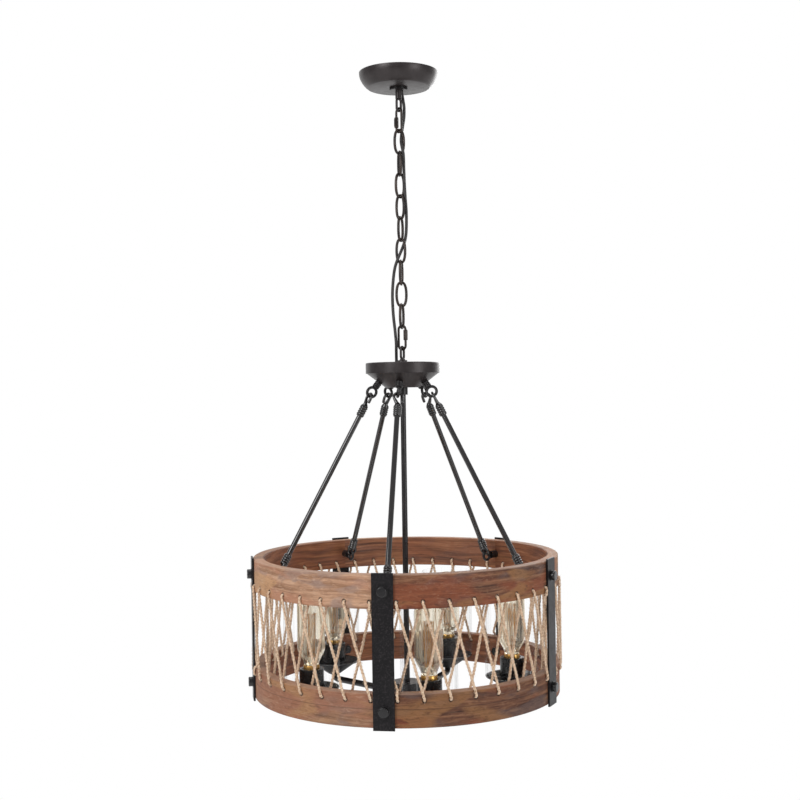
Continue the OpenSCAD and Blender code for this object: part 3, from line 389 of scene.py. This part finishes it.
CAD_LOOK = {
    bronze: ["ceiling_loop", "canopy", "hub_loop", "hub_cap", "hub_cone"],
    chain_metal: ["upper_quick_link", "lower_quick_link", "upper_link_sleeve", "lower_link_sleeve"]
    + [f"chain_link_{i}" for i in range(1, LINKS + 1)],
    iron: ["collar_ring", "hub_eyes", "strap_bolts", "strap_eyes", "lower_nuts", "centre_tube",
           "centre_collar", "canister", "canister_lid", "arms"],
    cup_black: ["cups", "plates"],
    rod_metal: [f"rod_{i}" for i in range(1, ARMS + 1)],
    strap_metal: ["straps"],
    zinc: ["ceiling_bar", "ceiling_nipple", "ceiling_nut", "ground_screw", "hub_nipple", "hub_nuts",
           "hub_eye_nuts"],
    wood: ["upper_ring", "lower_ring"],
    jute: ["twine_a", "twine_b"],
    shade_glass: ["shades"],
    bulb_glass: [f"bulb_{i}" for i in range(1, ARMS + 1)],
    socket_black: ["sockets", "hub_grommet"],
    orange: ["wire_nuts", "hub_splices"],
    lead_plastic: ["supply_leads", "harness"],
    cord_skin: ["power_cord"],
}
for look, names in CAD_LOOK.items():
    for name in names:
        mesh = nodes[name].data
        if not mesh.materials:
            mesh.materials.append(look)
        for i in range(len(mesh.materials)):
            mesh.materials[i] = look


# Mesh helpers
def mesh_object(name, verts, faces, material, body=None):
    mesh = bpy.data.meshes.new(name)
    mesh.from_pydata([tuple(v) for v in verts], [], faces)
    mesh.validate()
    mesh.materials.append(material)
    for face in mesh.polygons:
        face.use_smooth = True
    obj = bpy.data.objects.new(name, mesh)
    bpy.context.scene.collection.objects.link(obj)
    if body:
        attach(obj, body)
    return obj


def catmull(points, cuts):
    """A smooth line through the points, with cuts steps from each to the next."""
    out = []
    count = len(points)
    for i in range(count - 1):
        a, b, c, d = (points[max(i - 1, 0)], points[i], points[i + 1], points[min(i + 2, count - 1)])
        for k in range(cuts):
            t = k / cuts
            square = (2 * a - 5 * b + 4 * c - d) * t * t
            cube = (3 * b - a - 3 * c + d) * t ** 3
            out.append(0.5 * (2 * b + (c - a) * t + square + cube))
    out.append(points[-1])
    return out


def tube_rings(path, section, closed, turn_rate, lobes):
    """Rings along a path; section lists angles and radii, carried along without twist and then turned."""
    count = len(path)
    tangents = []
    for i in range(count):
        before = path[i - 1] if (closed or i > 0) else path[i]
        after = path[(i + 1) % count] if (closed or i < count - 1) else path[i]
        tangents.append((after - before).normalized())
    side = tangents[0].orthogonal().normalized()
    sides = []
    for tangent in tangents:
        side = (side - tangent * side.dot(tangent)).normalized()
        sides.append(side.copy())
    lengths = [0.0]
    for i in range(1, count + (1 if closed else 0)):
        lengths.append(lengths[-1] + (path[i % count] - path[i - 1]).length)
    total = lengths[-1]
    # a closed tube takes up the twist between its ends, and turns a whole number of lobes
    extra, rate = 0.0, turn_rate
    if closed:
        last = (sides[-1] - tangents[0] * sides[-1].dot(tangents[0])).normalized()
        extra = -math.atan2(last.dot(tangents[0].cross(sides[0])), last.dot(sides[0]))
        lobe = 2 * math.pi / lobes
        rate = (round((turn_rate * total + extra) / lobe) * lobe - extra) / total
    rings = []
    for i in range(count):
        a = sides[i]
        b = tangents[i].cross(a)
        spin = rate * lengths[i] + extra * lengths[i] / total
        rings.append([path[i] + (a * math.cos(f + spin) + b * math.sin(f + spin)) * r for f, r in section])
    return rings


def round_section(radius, sides):
    return [(2 * math.pi * k / sides, radius) for k in range(sides)]


def tube_mesh(name, path, section, material, body=None, closed=False, turn_rate=0.0, lobes=1):
    rings = tube_rings(path, section, closed, turn_rate, lobes)
    sides = len(section)
    verts = [v for ring in rings for v in ring]
    faces = []
    count = len(rings)
    for i in range(count if closed else count - 1):
        j = (i + 1) % count
        for k in range(sides):
            n = (k + 1) % sides
            faces.append((i * sides + k, i * sides + n, j * sides + n, j * sides + k))
    if not closed:
        faces.append(tuple(range(sides - 1, -1, -1)))
        faces.append(tuple((count - 1) * sides + k for k in range(sides)))
    return mesh_object(name, verts, faces, material, body)


# Power cord, from the canopy down the chain to the hub, in metres
ROUTE = [Vector(p) * MM for p in (
    (5.2, 6.5, -13), (5.2, 6.5, -30), (7.2, 5.4, -43), (8.8, 4.5, -56), (8.5, 4.5, -72), (6, 6, -88),
    (4, 6.5, -100), (3, 2, -113), (4.5, -2, -124), (6.5, -3, -136), (7, -2.5, -160), (7.5, -1.5, -182),
    (8.5, -1, -204), (10, 0, -232), (9.5, 2, -260), (7.5, 2.5, -275), (4, 1.5, -286), (-0.5, 0, -297),
    (-6.5, -2, -311), (-11, -2.5, -326), (-14, -2, -350), (-15, -1.5, -372), (-14, -1.5, -400),
    (-11.5, -1.8, -426), (-10, -1, -446), (-10, 2.5, -458), (-10, 5.8, -468), (-10, 6.8, -475),
    (-10, 6.8, -481), (-10, 6.8, -487))]
CORD_DIAMETER = 0.005
# The cord is cut into pieces at the middles of the links, but at link 9's hinge in place of the middles of
# links 8 and 9; the last piece ends at CORD_FOOT
CORD_FOOT = -0.487
LINK_9_HINGE = -0.3859
cord_line = catmull(ROUTE, 8)
chain = ["ceiling", "upper_quick_link"] + [f"link_{i}" for i in range(1, LINKS + 1)]
chain += ["lower_quick_link", "hub"]
# the middles of the upper quick link, the nine links and the lower quick link, and the foot of the cord
mids = [-0.0785] + [-0.114 - 0.036 * i for i in range(LINKS)] + [-0.4375, CORD_FOOT]
start = 0
number = 1
for i, low in enumerate(mids):
    if chain[i + 1] == "link_9":
        continue
    foot = LINK_9_HINGE if chain[i + 1] == "link_8" else low
    stop = max(k for k, p in enumerate(cord_line) if p.z >= foot - 1e-9)
    part = cord_line[start:stop + 1]
    piece = tube_mesh(f"power_cord_{number:02d}", part, round_section(CORD_DIAMETER / 2, 16), cord_skin)
    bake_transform(piece)
    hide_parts("power_cord")
    start = stop
    number += 1


# Turned pieces
def lathe(name, profile, centre, material, body, steps=72, closed=True, sharp=35):
    """A turned piece from (radius, height) points in millimetres, about the upright line through centre."""
    cx, cy = centre
    verts, rings = [], []
    for r, z in profile:
        if r < 1e-6:
            rings.append([len(verts)])
            verts.append((cx, cy, z * MM))
        else:
            rings.append([len(verts) + k for k in range(steps)])
            for k in range(steps):
                f = 2 * math.pi * k / steps
                verts.append((cx + r * MM * math.sin(f), cy - r * MM * math.cos(f), z * MM))
    faces = []
    count = len(profile)
    for i in range(count if closed else count - 1):
        a, b = rings[i], rings[(i + 1) % count]
        if len(a) == 1 and len(b) == 1:
            continue
        for k in range(steps):
            n = (k + 1) % steps
            if len(a) == 1:
                faces.append((a[0], b[n], b[k]))
            elif len(b) == 1:
                faces.append((a[k], a[n], b[0]))
            else:
                faces.append((a[k], a[n], b[n], b[k]))
    obj = mesh_object(name, verts, faces, material)
    bm = bmesh.new()
    bm.from_mesh(obj.data)
    bmesh.ops.recalc_face_normals(bm, faces=bm.faces)
    bm.to_mesh(obj.data)
    bm.free()
    obj.data.set_sharp_from_angle(angle=math.radians(sharp))
    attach(obj, body)
    return obj


def arc(cx, cz, r, first, last, count):
    """Points of a round edge in a profile, from angle first to last in degrees."""
    angles = [math.radians(first + (last - first) * k / count) for k in range(count + 1)]
    return [(cx + r * math.cos(a), cz + r * math.sin(a)) for a in angles]


def ridges(first, count, pitch, low, high):
    """Profile of count rounded rings between the radii low and high, the first one at height first."""
    out = []
    for k in range(count):
        at = first + k * pitch
        out += [(low, at), (high - 0.2, at + pitch * 0.18), (high, at + pitch * 0.3),
                (high, at + pitch * 0.6), (high - 0.3, at + pitch * 0.76)]
    return out + [(low, first + count * pitch)]


def lathe_along(name, profile, origin, direction, material, body, steps=48, sharp=35):
    """A turned piece whose heights run from origin along direction, all in millimetres."""
    obj = lathe(name, profile, (0, 0), material, body, steps, closed=False, sharp=sharp)
    turn = Vector(direction).to_track_quat("Z", "Y").to_matrix().to_4x4()
    obj.data.transform(Matrix.Translation(Vector(origin) * MM) @ turn)
    return obj


# Canopy: a rim that turns in to a flat disc with a crisp edge
side = [(65, -1.2), (64.7, -5), (63.4, -9.6), (61, -14.4), (57.8, -19), (54.2, -22.8), (51.6, -24.8)]
inner = [(r - 1.3, z + 1.0) for r, z in side]
canopy = lathe("canopy_shell",
               [(65, 0)] + side + [(49.6, -25.4), (12.2, -25.4), (12.2, -24.2)] + inner[::-1] + [(63.8, 0)],
               (0, 0), bronze, "canopy", 128, sharp=25)
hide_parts("canopy")

# Rods, eye collars and bolt heads: the radius and height of what each of them starts at
HUB_EYE, STRAP_EYE = (52.107, -527.173), (208.0, -818.0)
COLLAR_SEAT = (40.0, -511.253)
BOLT_SEATS = (("top", 253.05, -818), ("low", 253.05, -992))


def around(k, r, z):
    """The point at radius r and height z in the upright plane of rod and strap k."""
    a = math.radians(DRUM_TURN + ARM_STEP * k)
    return (r * math.sin(a), -r * math.cos(a), z)


def wire(path, radii, normal, closed=False):
    """Round wire of changing thickness along a flat path, in metres."""
    sides = 16
    verts, faces = [], []
    count = len(path)
    for q, at in enumerate(path):
        after = path[(q + 1) % count] if closed else path[min(q + 1, count - 1)]
        before = path[q - 1] if closed else path[max(q - 1, 0)]
        side = normal.cross((after - before).normalized())
        for m in range(sides):
            g = 2 * math.pi * m / sides
            verts.append(at + (normal * math.cos(g) + side * math.sin(g)) * radii[q])
            n, r = (m + 1) % sides, (q + 1) % count
            if closed or q < count - 1:
                faces.append((q * sides + m, q * sides + n, r * sides + n, r * sides + m))
    if not closed:
        faces += [tuple(range(sides))[::-1], tuple(range((count - 1) * sides, count * sides))]
    return verts, faces


def hook_line():
    """A hook in its own plane, from the ferrule over the bend to the tip: across, up and wire radius."""
    line = [(0, -16, 3.4), (0, -14.2, 3.4), (1.6, -11.3, 3.2), (4.4, -6.4, 2.75)]
    bend = [math.radians(a) for a in range(-30, 181, 10)]
    line += [(7 * math.cos(a), 7 * math.sin(a), 2.35) for a in bend]
    return line + [(-7, -3, 2.5), (-7, -7.2, 2.5), (-7, -8.4, 2.3), (-7, -9.1, 1.5), (-7, -9.2, 0.2)]


def rod(k):
    """A round shaft, with a hook and a ringed ferrule with a tapered neck at each end."""
    node = f"rod_{k + 1}"
    top, foot = Vector(around(k, *HUB_EYE)), Vector(around(k, *STRAP_EYE))
    down = (foot - top).normalized()
    shaft_profile = [(0, 23), (4.25, 23), (4.25, 307), (0, 307)]
    shaft = lathe_along(f"rod_shaft_{k + 1}", shaft_profile, top, down, rod_metal, node, 64)
    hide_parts(node)
    lean = math.atan2(STRAP_EYE[0] - HUB_EYE[0], HUB_EYE[1] - STRAP_EYE[1])
    turned = Matrix.Rotation(math.radians(DRUM_TURN + ARM_STEP * k), 4, "Z")
    along = Matrix.Translation(top * MM) @ turned @ Matrix.Rotation(-lean, 4, "X")
    # where each hook's bend is on the rod, its turn about the rod, and which way is up in it
    for tag, z, turn, way in (("top", -9.95, 200, 1), ("low", -320.22, 180, -1)):
        t = math.radians(turn)
        line = [Vector((x * math.cos(t), x * math.sin(t), z + way * h)) * MM for x, h, _ in hook_line()]
        normal = (along.to_3x3() @ Vector((-math.sin(t), math.cos(t), 0))).normalized()
        verts, faces = wire([along @ p for p in line], [r * MM for _, _, r in hook_line()], normal)
        hook = mesh_object(f"rod_hook_{tag}_{k + 1}", verts, faces, rod_metal, node)
        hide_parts(node)
    # the end that each ferrule is measured from, and the places of its neck and its first ring
    for tag, end, way, neck, first in (("top", top, down, 20.6, 27.0), ("low", foot, -down, 11.6, 15.4)):
        ferrule = [(0, neck), (2.7, neck), (3.6, neck + 1.2), (6.1, first - 1.0), (6.3, first - 0.2)]
        ferrule += ridges(first, 4, 4.0, 5.5, 6.75)
        ferrule += [(6.2, first + 16.2), (5.8, first + 17.2), (4.3, first + 17.6), (0, first + 17.6)]
        lathe_along(f"rod_ferrule_{tag}_{k + 1}", ferrule, end, way, rod_metal, node)


def eye_collar(k):
    """The ringed collar on one of the hub's eyes."""
    seat = Vector(around(k, *COLLAR_SEAT))
    collar = [(0, 0.8), (5.0, 0.8)] + ridges(1.0, 3, 3.2, 5.2, 6.05) + [(4.6, 11.2), (0, 11.2)]
    lathe_along(f"eye_collar_{k + 1}", collar, seat, Vector(around(k, *HUB_EYE)) - seat, iron, "hub")


def bolt_heads(k):
    """The rounded heads of the two bolts through one strap."""
    head = [(0, 7.2), (6.1, 7.2)] + arc(6.3, 5.9, 1.3, 80, 10, 5)
    head += [(7.6, 0.9), (8.6, 0.8), (8.6, 0.02), (0, 0.02)]
    for tag, r, z in BOLT_SEATS:
        seat, out = around(k, r, z), around(k, 1, 0)
        lathe_along(f"bolt_head_{tag}_{k + 1}", head, seat, out, bolt_black, "drum", sharp=30)


for k in range(ARMS):
    rod(k)
    eye_collar(k)
    bolt_heads(k)

# Oval chain links, a little stouter along their sides: millimetres, and the wire's radii in metres
LINK_TURNS = (20, 105, 35, 138, 64, 150, 76, 0, 70)
FIRST_LINK, LINK_PITCH = -114.15, 36
LINK_HALF_WIDTH, LINK_HALF_HEIGHT = 8.05, 19.9
LINK_WIRE, LINK_STOUTER = 0.00174, 0.00056


def oval_link(k, turn):
    turn = math.radians(turn)
    across = Vector((math.cos(turn), math.sin(turn), 0))
    path, radii = [], []
    for q in range(56):
        f = 2 * math.pi * q / 56
        c, s = math.cos(f), math.sin(f)
        out = LINK_HALF_WIDTH * math.copysign(abs(c) ** 0.8, c)
        z = FIRST_LINK - LINK_PITCH * k + LINK_HALF_HEIGHT * math.copysign(abs(s) ** 0.9, s)
        path.append((across * out + Vector((0, 0, z))) * MM)
        radii.append(LINK_WIRE + LINK_STOUTER * min(1.0, abs(c) * 1.5))
    verts, faces = wire(path, radii, across.cross(Vector((0, 0, 1))), closed=True)
    link = mesh_object(f"oval_link_{k + 1}", verts, faces, chain_metal, f"link_{k + 1}")
    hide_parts(f"chain_link_{k + 1}")


for k, turn in enumerate(LINK_TURNS):
    oval_link(k, turn)

# Twine: radii of its way over the hoops' outer and inner faces and under the straps, in millimetres
LACE_OUT, LACE_IN, UNDER_STRAP = 252.6, 229.4, 247.5
HOLE_TO_EDGE = 10.5
# In metres: the twine's radius and the length of one turn of its strands, where a loose fibre leaves
# the twine's middle, and the wall of the hoops, which has no loose fibres in it
TWINE_STRANDS = 3
TWINE_RADIUS, TWINE_LAY = 0.0023, 0.017
FIBRE_ROOT = 0.0016
WALL_RADIUS, WALL_HALF = 0.241, 0.0085


def polar(r, turn, z):
    t = math.radians(turn)
    return Vector((r * math.sin(t), -r * math.cos(t), z)) * MM


def lace_hole(hole, top):
    """The twine's points through one hole, from the inner face to the outer."""
    turn = LACE_TURN + hole * LACE_PITCH
    down = -1 if top else 1
    z = LACE_HIGH if top else LACE_LOW
    edge = z + down * HOLE_TO_EDGE
    points = [polar(LACE_IN, turn, z + down * 2), polar(LACE_IN + 2, turn, z),
              polar(LACE_OUT - 2, turn, z), polar(LACE_OUT, turn, z + down * 2)]
    if ((hole + 1) if top else hole) % 8 == 0:
        points += [polar(LACE_OUT, turn, edge + down * 1.2), polar(UNDER_STRAP, turn, edge + down * 4.5)]
    return points


def even_spacing(points, gap):
    """The closed line through points, cut at an even spacing."""
    count = len(points)
    lengths = [0.0]
    for i in range(count):
        lengths.append(lengths[-1] + (points[(i + 1) % count] - points[i]).length)
    total = lengths[-1]
    cuts = round(total / gap)
    out, seg = [], 0
    for k in range(cuts):
        at = total * k / cuts
        while lengths[seg + 1] < at:
            seg += 1
        f = (at - lengths[seg]) / (lengths[seg + 1] - lengths[seg])
        out.append(points[seg].lerp(points[(seg + 1) % count], f))
    return out


def twine_line(first, seed):
    """The middle of one twine, zigzag between the hoops from the hole numbered first."""
    corners = []
    for j in range(LACE_HOLES):
        points = lace_hole(first + j, j % 2 == 0)
        corners += points if j % 2 == 0 else points[::-1]
    path = even_spacing(corners, 0.0012)
    count = len(path)
    for _ in range(3):
        path = [(path[i - 1] + path[i] * 2 + path[(i + 1) % count]) / 4 for i in range(count)]
    # the hand-laid twine wanders a little
    rng = random.Random(seed)
    drift = [rng.uniform(0, 6.28) for _ in range(2)]
    for i, q in enumerate(path):
        f = 2 * math.pi * i / count
        sway = 0.0003 * math.sin(83 * f + drift[0]) + 0.0002 * math.sin(211 * f + drift[1])
        path[i] = q + Vector((-q.y, q.x, 0)).normalized() * sway
    return path


def strand_section(sides=12):
    """Three strands laid together, seen in section."""
    angles = [2 * math.pi * k / sides for k in range(sides)]
    return [(f, TWINE_RADIUS * (0.8 + 0.2 * math.cos(TWINE_STRANDS * f))) for f in angles]


def fuzz(name, path, seed, count):
    """Loose jute fibres that stand off the twine."""
    rng = random.Random(seed)
    verts, faces = [], []
    for _ in range(count):
        i = rng.randrange(len(path))
        at, along = path[i], (path[(i + 3) % len(path)] - path[i]).normalized()
        out = Vector((rng.gauss(0, 1), rng.gauss(0, 1), rng.gauss(0, 1)))
        out = (out - along * out.dot(along)).normalized()
        if abs(math.hypot(at.x, at.y) - WALL_RADIUS) < WALL_HALF:
            continue
        reach = rng.uniform(0.001, 0.0036)
        bend = along * rng.uniform(0.002, 0.006) * rng.choice((-1, 1))
        line = [at + out * FIBRE_ROOT, at + out * (FIBRE_ROOT + reach * 0.6) + bend * 0.5,
                at + out * (FIBRE_ROOT + reach) + bend]
        base = len(verts)
        across = along.cross(out)
        for q, w in zip(line, (0.00014, 0.00011, 0.00004)):
            verts += [q + across * w, q - across * w * 0.5 + out * w, q - across * w * 0.5 - out * w]
        for k in range(2):
            for m in range(3):
                n = (m + 1) % 3
                faces.append((base + 3 * k + m, base + 3 * k + n, base + 3 * k + 3 + n, base + 3 * k + 3 + m))
    return mesh_object(name, verts, faces, jute, "drum")


for tag, first, seed in (("a", 0, 3), ("b", 1, 4)):
    line = twine_line(first, seed)
    twine = tube_mesh("twisted_twine_" + tag, line, strand_section(), jute, "drum", closed=True,
                      turn_rate=2 * math.pi / TWINE_LAY, lobes=TWINE_STRANDS)
    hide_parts("twine_" + tag)
    fuzz("twine_fibres_" + tag, line, seed + 10, 2600)

# Lights, in millimetres and degrees: their circle, and the heights that their parts are drawn from
LIGHT_RADIUS, LIGHT_TURN = 173, 11
SHADE_FOOT, SHADE_RIM = -993, -846.25
SOCKET_FOOT, SOCKET_TOP = -1005.5, -963
SCREW_FOOT = -988.5
GLASS_FOOT, GLASS_LENGTH, GLASS_RADIUS = -957, 110, 21.98
CAGE_TOP, CAGE_FOOT = -876.5, -944
# The two rings of fine hooks: height and reach of their tips, height of their roots, and bow in metres
CAGE_HOOKS = (("top", CAGE_TOP, 7.2, -914, 0.004), ("low", CAGE_FOOT, 5.1, -938, 0.001))


def screw_thread(radius, depth, turns, foot, rise, cuts):
    """Profile of a rolled screw thread, in whole rings."""
    steps = [k / cuts for k in range(cuts + 1)]
    return [(radius + depth * math.cos(2 * math.pi * turns * f), foot + rise * f) for f in steps]


def shade(i, c):
    """A glass cylinder with a fire-polished rim and a heel, and the rolled lip of the plate under it."""
    outside = [(20.2, SHADE_FOOT), (42.5, SHADE_FOOT)] + arc(42.5, SHADE_FOOT + 1.5, 1.5, 270, 360, 5)
    rim = arc(42.75, SHADE_RIM, 1.25, 0, 180, 8)
    inside = [(41.5, SHADE_FOOT + 4.5)] + arc(40, SHADE_FOOT + 4.5, 1.5, 0, -90, 4) + [(20.2, SHADE_FOOT + 3)]
    cylinder = lathe(f"glass_cylinder_{i}", outside + rim + inside, c, shade_glass, "hub", 96)
    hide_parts("shades")
    lip = [(42.2, SHADE_FOOT + 0.3), (42.2, SHADE_FOOT - 1.3)] + arc(42.9, SHADE_FOOT - 0.5, 0.9, 270, 450, 8)
    lathe(f"plate_lip_{i}", lip, c, lip_black, "hub", 96)


def socket(i, c):
    """A moulded sleeve with a stepped foot and a lip, and the brass shell inside it."""
    outer = [(5.7, SOCKET_FOOT), (18.2, SOCKET_FOOT), (18.8, SOCKET_FOOT + 0.6), (18.8, SOCKET_FOOT + 4.5),
             (19.5, SOCKET_FOOT + 5.2), (19.5, SOCKET_TOP - 2.2)] + arc(18.7, SOCKET_TOP - 0.8, 0.8, 0, 90, 4)
    bore = [(14.6, SOCKET_TOP), (14.0, SOCKET_TOP - 0.8), (14.0, SCREW_FOOT - 1), (5.7, SCREW_FOOT - 1)]
    sleeve = lathe(f"socket_sleeve_{i}", outer + bore, c, socket_black, "hub", 72)
    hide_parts("sockets")
    shell = screw_thread(13.45, 0.22, 6, SCREW_FOOT, 24.5, 48)
    lathe(f"socket_shell_{i}", shell + [(13.85, SOCKET_TOP - 1.2), (13.85, SCREW_FOOT)], c, brass, "hub", 60)


def bulb_profile():
    """The bulb's glass: a neck that swells to a long straight envelope with a round end."""
    cuts, neck, round_end = 18, 27, 16
    points = [(0, 0.3), (11.98, 0.3)]
    for k in range(1, cuts + 1):
        points.append((12 + 9.98 * (1 - math.cos(math.pi * k / cuts)) / 2, neck * k / cuts))
    points += [(GLASS_RADIUS, 45), (GLASS_RADIUS, 65), (GLASS_RADIUS, 82)]
    for k in range(cuts):
        t = math.radians(90 * k / cuts)
        points.append((GLASS_RADIUS * math.cos(t), GLASS_LENGTH - round_end + round_end * math.sin(t)))
    points.append((0, GLASS_LENGTH))
    return [(r, GLASS_FOOT + z) for r, z in points]


def bulb(i, c):
    """The glass envelope, the screw base and the glass stem inside."""
    body = f"bulb_{i}"
    glass = lathe(f"bulb_glass_{i}", bulb_profile(), c, bulb_glass, body, 64, closed=False, sharp=60)
    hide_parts(body)
    foot = [(0, -988.9), (4, -988.9), (4.6, -988.0), (9.5, -987.4)]
    screw = screw_thread(12.35, 0.3, 7, SCREW_FOOT + 2, 20, 60)
    collar = [(12.7, -965.5), (12.9, -964.5), (12.9, -958.8), (12.3, -957.4)]
    collar += [(11.2, GLASS_FOOT), (0, GLASS_FOOT)]
    lathe(f"bulb_base_{i}", foot + screw + collar, c, brass, body, 64, closed=False)
    stem = [(0, -956.6), (7.5, -956.6), (6.2, -951), (3.2, -944), (2.2, -932), (1.9, -915)]
    lathe(f"bulb_stem_{i}", stem + arc(0, -913.4, 2.4, -35, 90, 5), c, stem_glass, body, 32, closed=False)


def filament_cage(i, c):
    """One thread that runs up and down round the stem, with fine hooks at its top and its foot."""
    def point(radius, angle, z):
        return Vector((c[0] + radius * MM * math.cos(angle), c[1] + radius * MM * math.sin(angle), z * MM))

    turn = math.radians(37 * i)
    corners = []
    for k in range(14):
        f = turn + 2 * math.pi * k / 14
        low = point(5.6 if k % 2 else 4.6, f, CAGE_FOOT)
        high = point(7.8 if k % 2 else 6.6, f + 0.1, CAGE_TOP)
        corners += [low, high] if k % 2 == 0 else [high, low]
    thread = []
    for a, b in zip(corners, corners[1:]):
        thread += [a.lerp(b, q / 12) for q in range(12)]
    thread.append(corners[-1])
    tube_mesh(f"bulb_filament_{i}", thread, round_section(0.00045, 6), filament_metal, f"bulb_{i}")
    for tag, level, reach, root_z, bow in CAGE_HOOKS:
        for k in range(7):
            root = point(0, 0, root_z)
            tip = point(reach, turn + 2 * math.pi * (k + 0.25) / 7, level)
            bend = root.lerp(tip, 0.55) + Vector((0, 0, bow))
            line = catmull([root, bend, tip], 6)
            tube_mesh(f"bulb_hook_{tag}_{i}_{k}", line, round_section(0.0002, 5), brass, f"bulb_{i}")


for i in range(1, ARMS + 1):
    t = math.radians(LIGHT_TURN + ARM_STEP * (i - 1))
    centre = (LIGHT_RADIUS * MM * math.sin(t), -LIGHT_RADIUS * MM * math.cos(t))
    shade(i, centre)
    socket(i, centre)
    bulb(i, centre)
    filament_cage(i, centre)


# Stage, in metres
def stage_material(name):
    """Pale surface that the camera, glass and metal see as white, with the object's shadow kept."""
    level, floor_seen = 0.85, 0.9
    m = Nodes(name)
    path = m.add("ShaderNodeLightPath")
    mirrored = m.math("MAXIMUM", path.outputs["Is Glossy Ray"], path.outputs["Is Transmission Ray"])
    direct = m.math("MAXIMUM", path.outputs["Is Camera Ray"], mirrored)
    white, off_white = (level, level, level), (level * 0.99, level * 0.99, level * 0.985)
    diffuse = m.add("ShaderNodeBsdfDiffuse")
    m.put(diffuse.inputs["Color"], m.ramp(m.noise(3.0, 2), (0.3, white), (0.7, off_white)))
    glow = m.add("ShaderNodeEmission")
    m.put(glow.inputs["Color"], (1, 1, 1, 1))
    blend = m.add("ShaderNodeMixShader")
    seen = m.span(m.axes()[1], 1.0, 1.7, floor_seen, 1.0)
    m.put(blend.inputs[0], m.math("MULTIPLY", direct, seen))
    m.put(blend.inputs[1], diffuse.outputs[0])
    m.put(blend.inputs[2], glow.outputs[0])
    m.put(m.out.inputs["Surface"], blend.outputs[0])
    return m.mat


def backdrop():
    """A floor that curves up into a wall behind."""
    half_width, floor, curve = 6, -1.75, 1.2
    angles = [math.radians(10 * k) for k in range(10)]
    bend = [(2.6 + curve * math.sin(a), floor + curve - curve * math.cos(a)) for a in angles]
    profile = [(-4.0, floor)] + bend + [(3.8, 3.5)]
    verts = [(x, y, z) for y, z in profile for x in (-half_width, half_width)]
    faces = [(2 * i, 2 * i + 1, 2 * i + 3, 2 * i + 2) for i in range(len(profile) - 1)]
    return mesh_object("backdrop", verts, faces, stage_material("backdrop_white"))


def world_light():
    """White where the camera looks past the stage, and a soft cool light on the object."""
    world = bpy.data.worlds.new("world")
    bpy.context.scene.world = world
    world.use_nodes = True
    tree = world.node_tree
    tree.nodes.clear()
    out = tree.nodes.new("ShaderNodeOutputWorld")
    mix = tree.nodes.new("ShaderNodeMixShader")
    path = tree.nodes.new("ShaderNodeLightPath")
    seen = tree.nodes.new("ShaderNodeBackground")
    lit = tree.nodes.new("ShaderNodeBackground")
    seen.inputs["Color"].default_value = (1, 1, 1, 1)
    seen.inputs["Strength"].default_value = 1.0
    lit.inputs["Color"].default_value = (0.96, 0.98, 1, 1)
    lit.inputs["Strength"].default_value = 0.45
    tree.links.new(path.outputs["Is Camera Ray"], mix.inputs[0])
    tree.links.new(lit.outputs[0], mix.inputs[1])
    tree.links.new(seen.outputs[0], mix.inputs[2])
    tree.links.new(mix.outputs[0], out.inputs["Surface"])


def area_light(name, place, target, size, watts):
    data = bpy.data.lights.new(name, "AREA")
    data.shape = "RECTANGLE"
    data.size, data.size_y = size
    data.energy = watts
    obj = bpy.data.objects.new(name, data)
    bpy.context.scene.collection.objects.link(obj)
    obj.location = place
    obj.rotation_euler = (Vector(target) - Vector(place)).to_track_quat("-Z", "Y").to_euler()


sweep = backdrop()
world_light()
area_light("key", (-1.7, -1.9, 0.5), (0, 0, -0.75), (1.2, 1.6), 34)
area_light("fill", (1.9, -1.7, -0.3), (0, 0, -0.75), (1.2, 1.6), 18)
area_light("top", (0.1, 0.2, 1.2), (0, 0, -0.8), (1.6, 1.6), 14)
area_light("rim", (0.9, 1.9, 0.2), (0, 0, -0.7), (1.4, 1.4), 16)
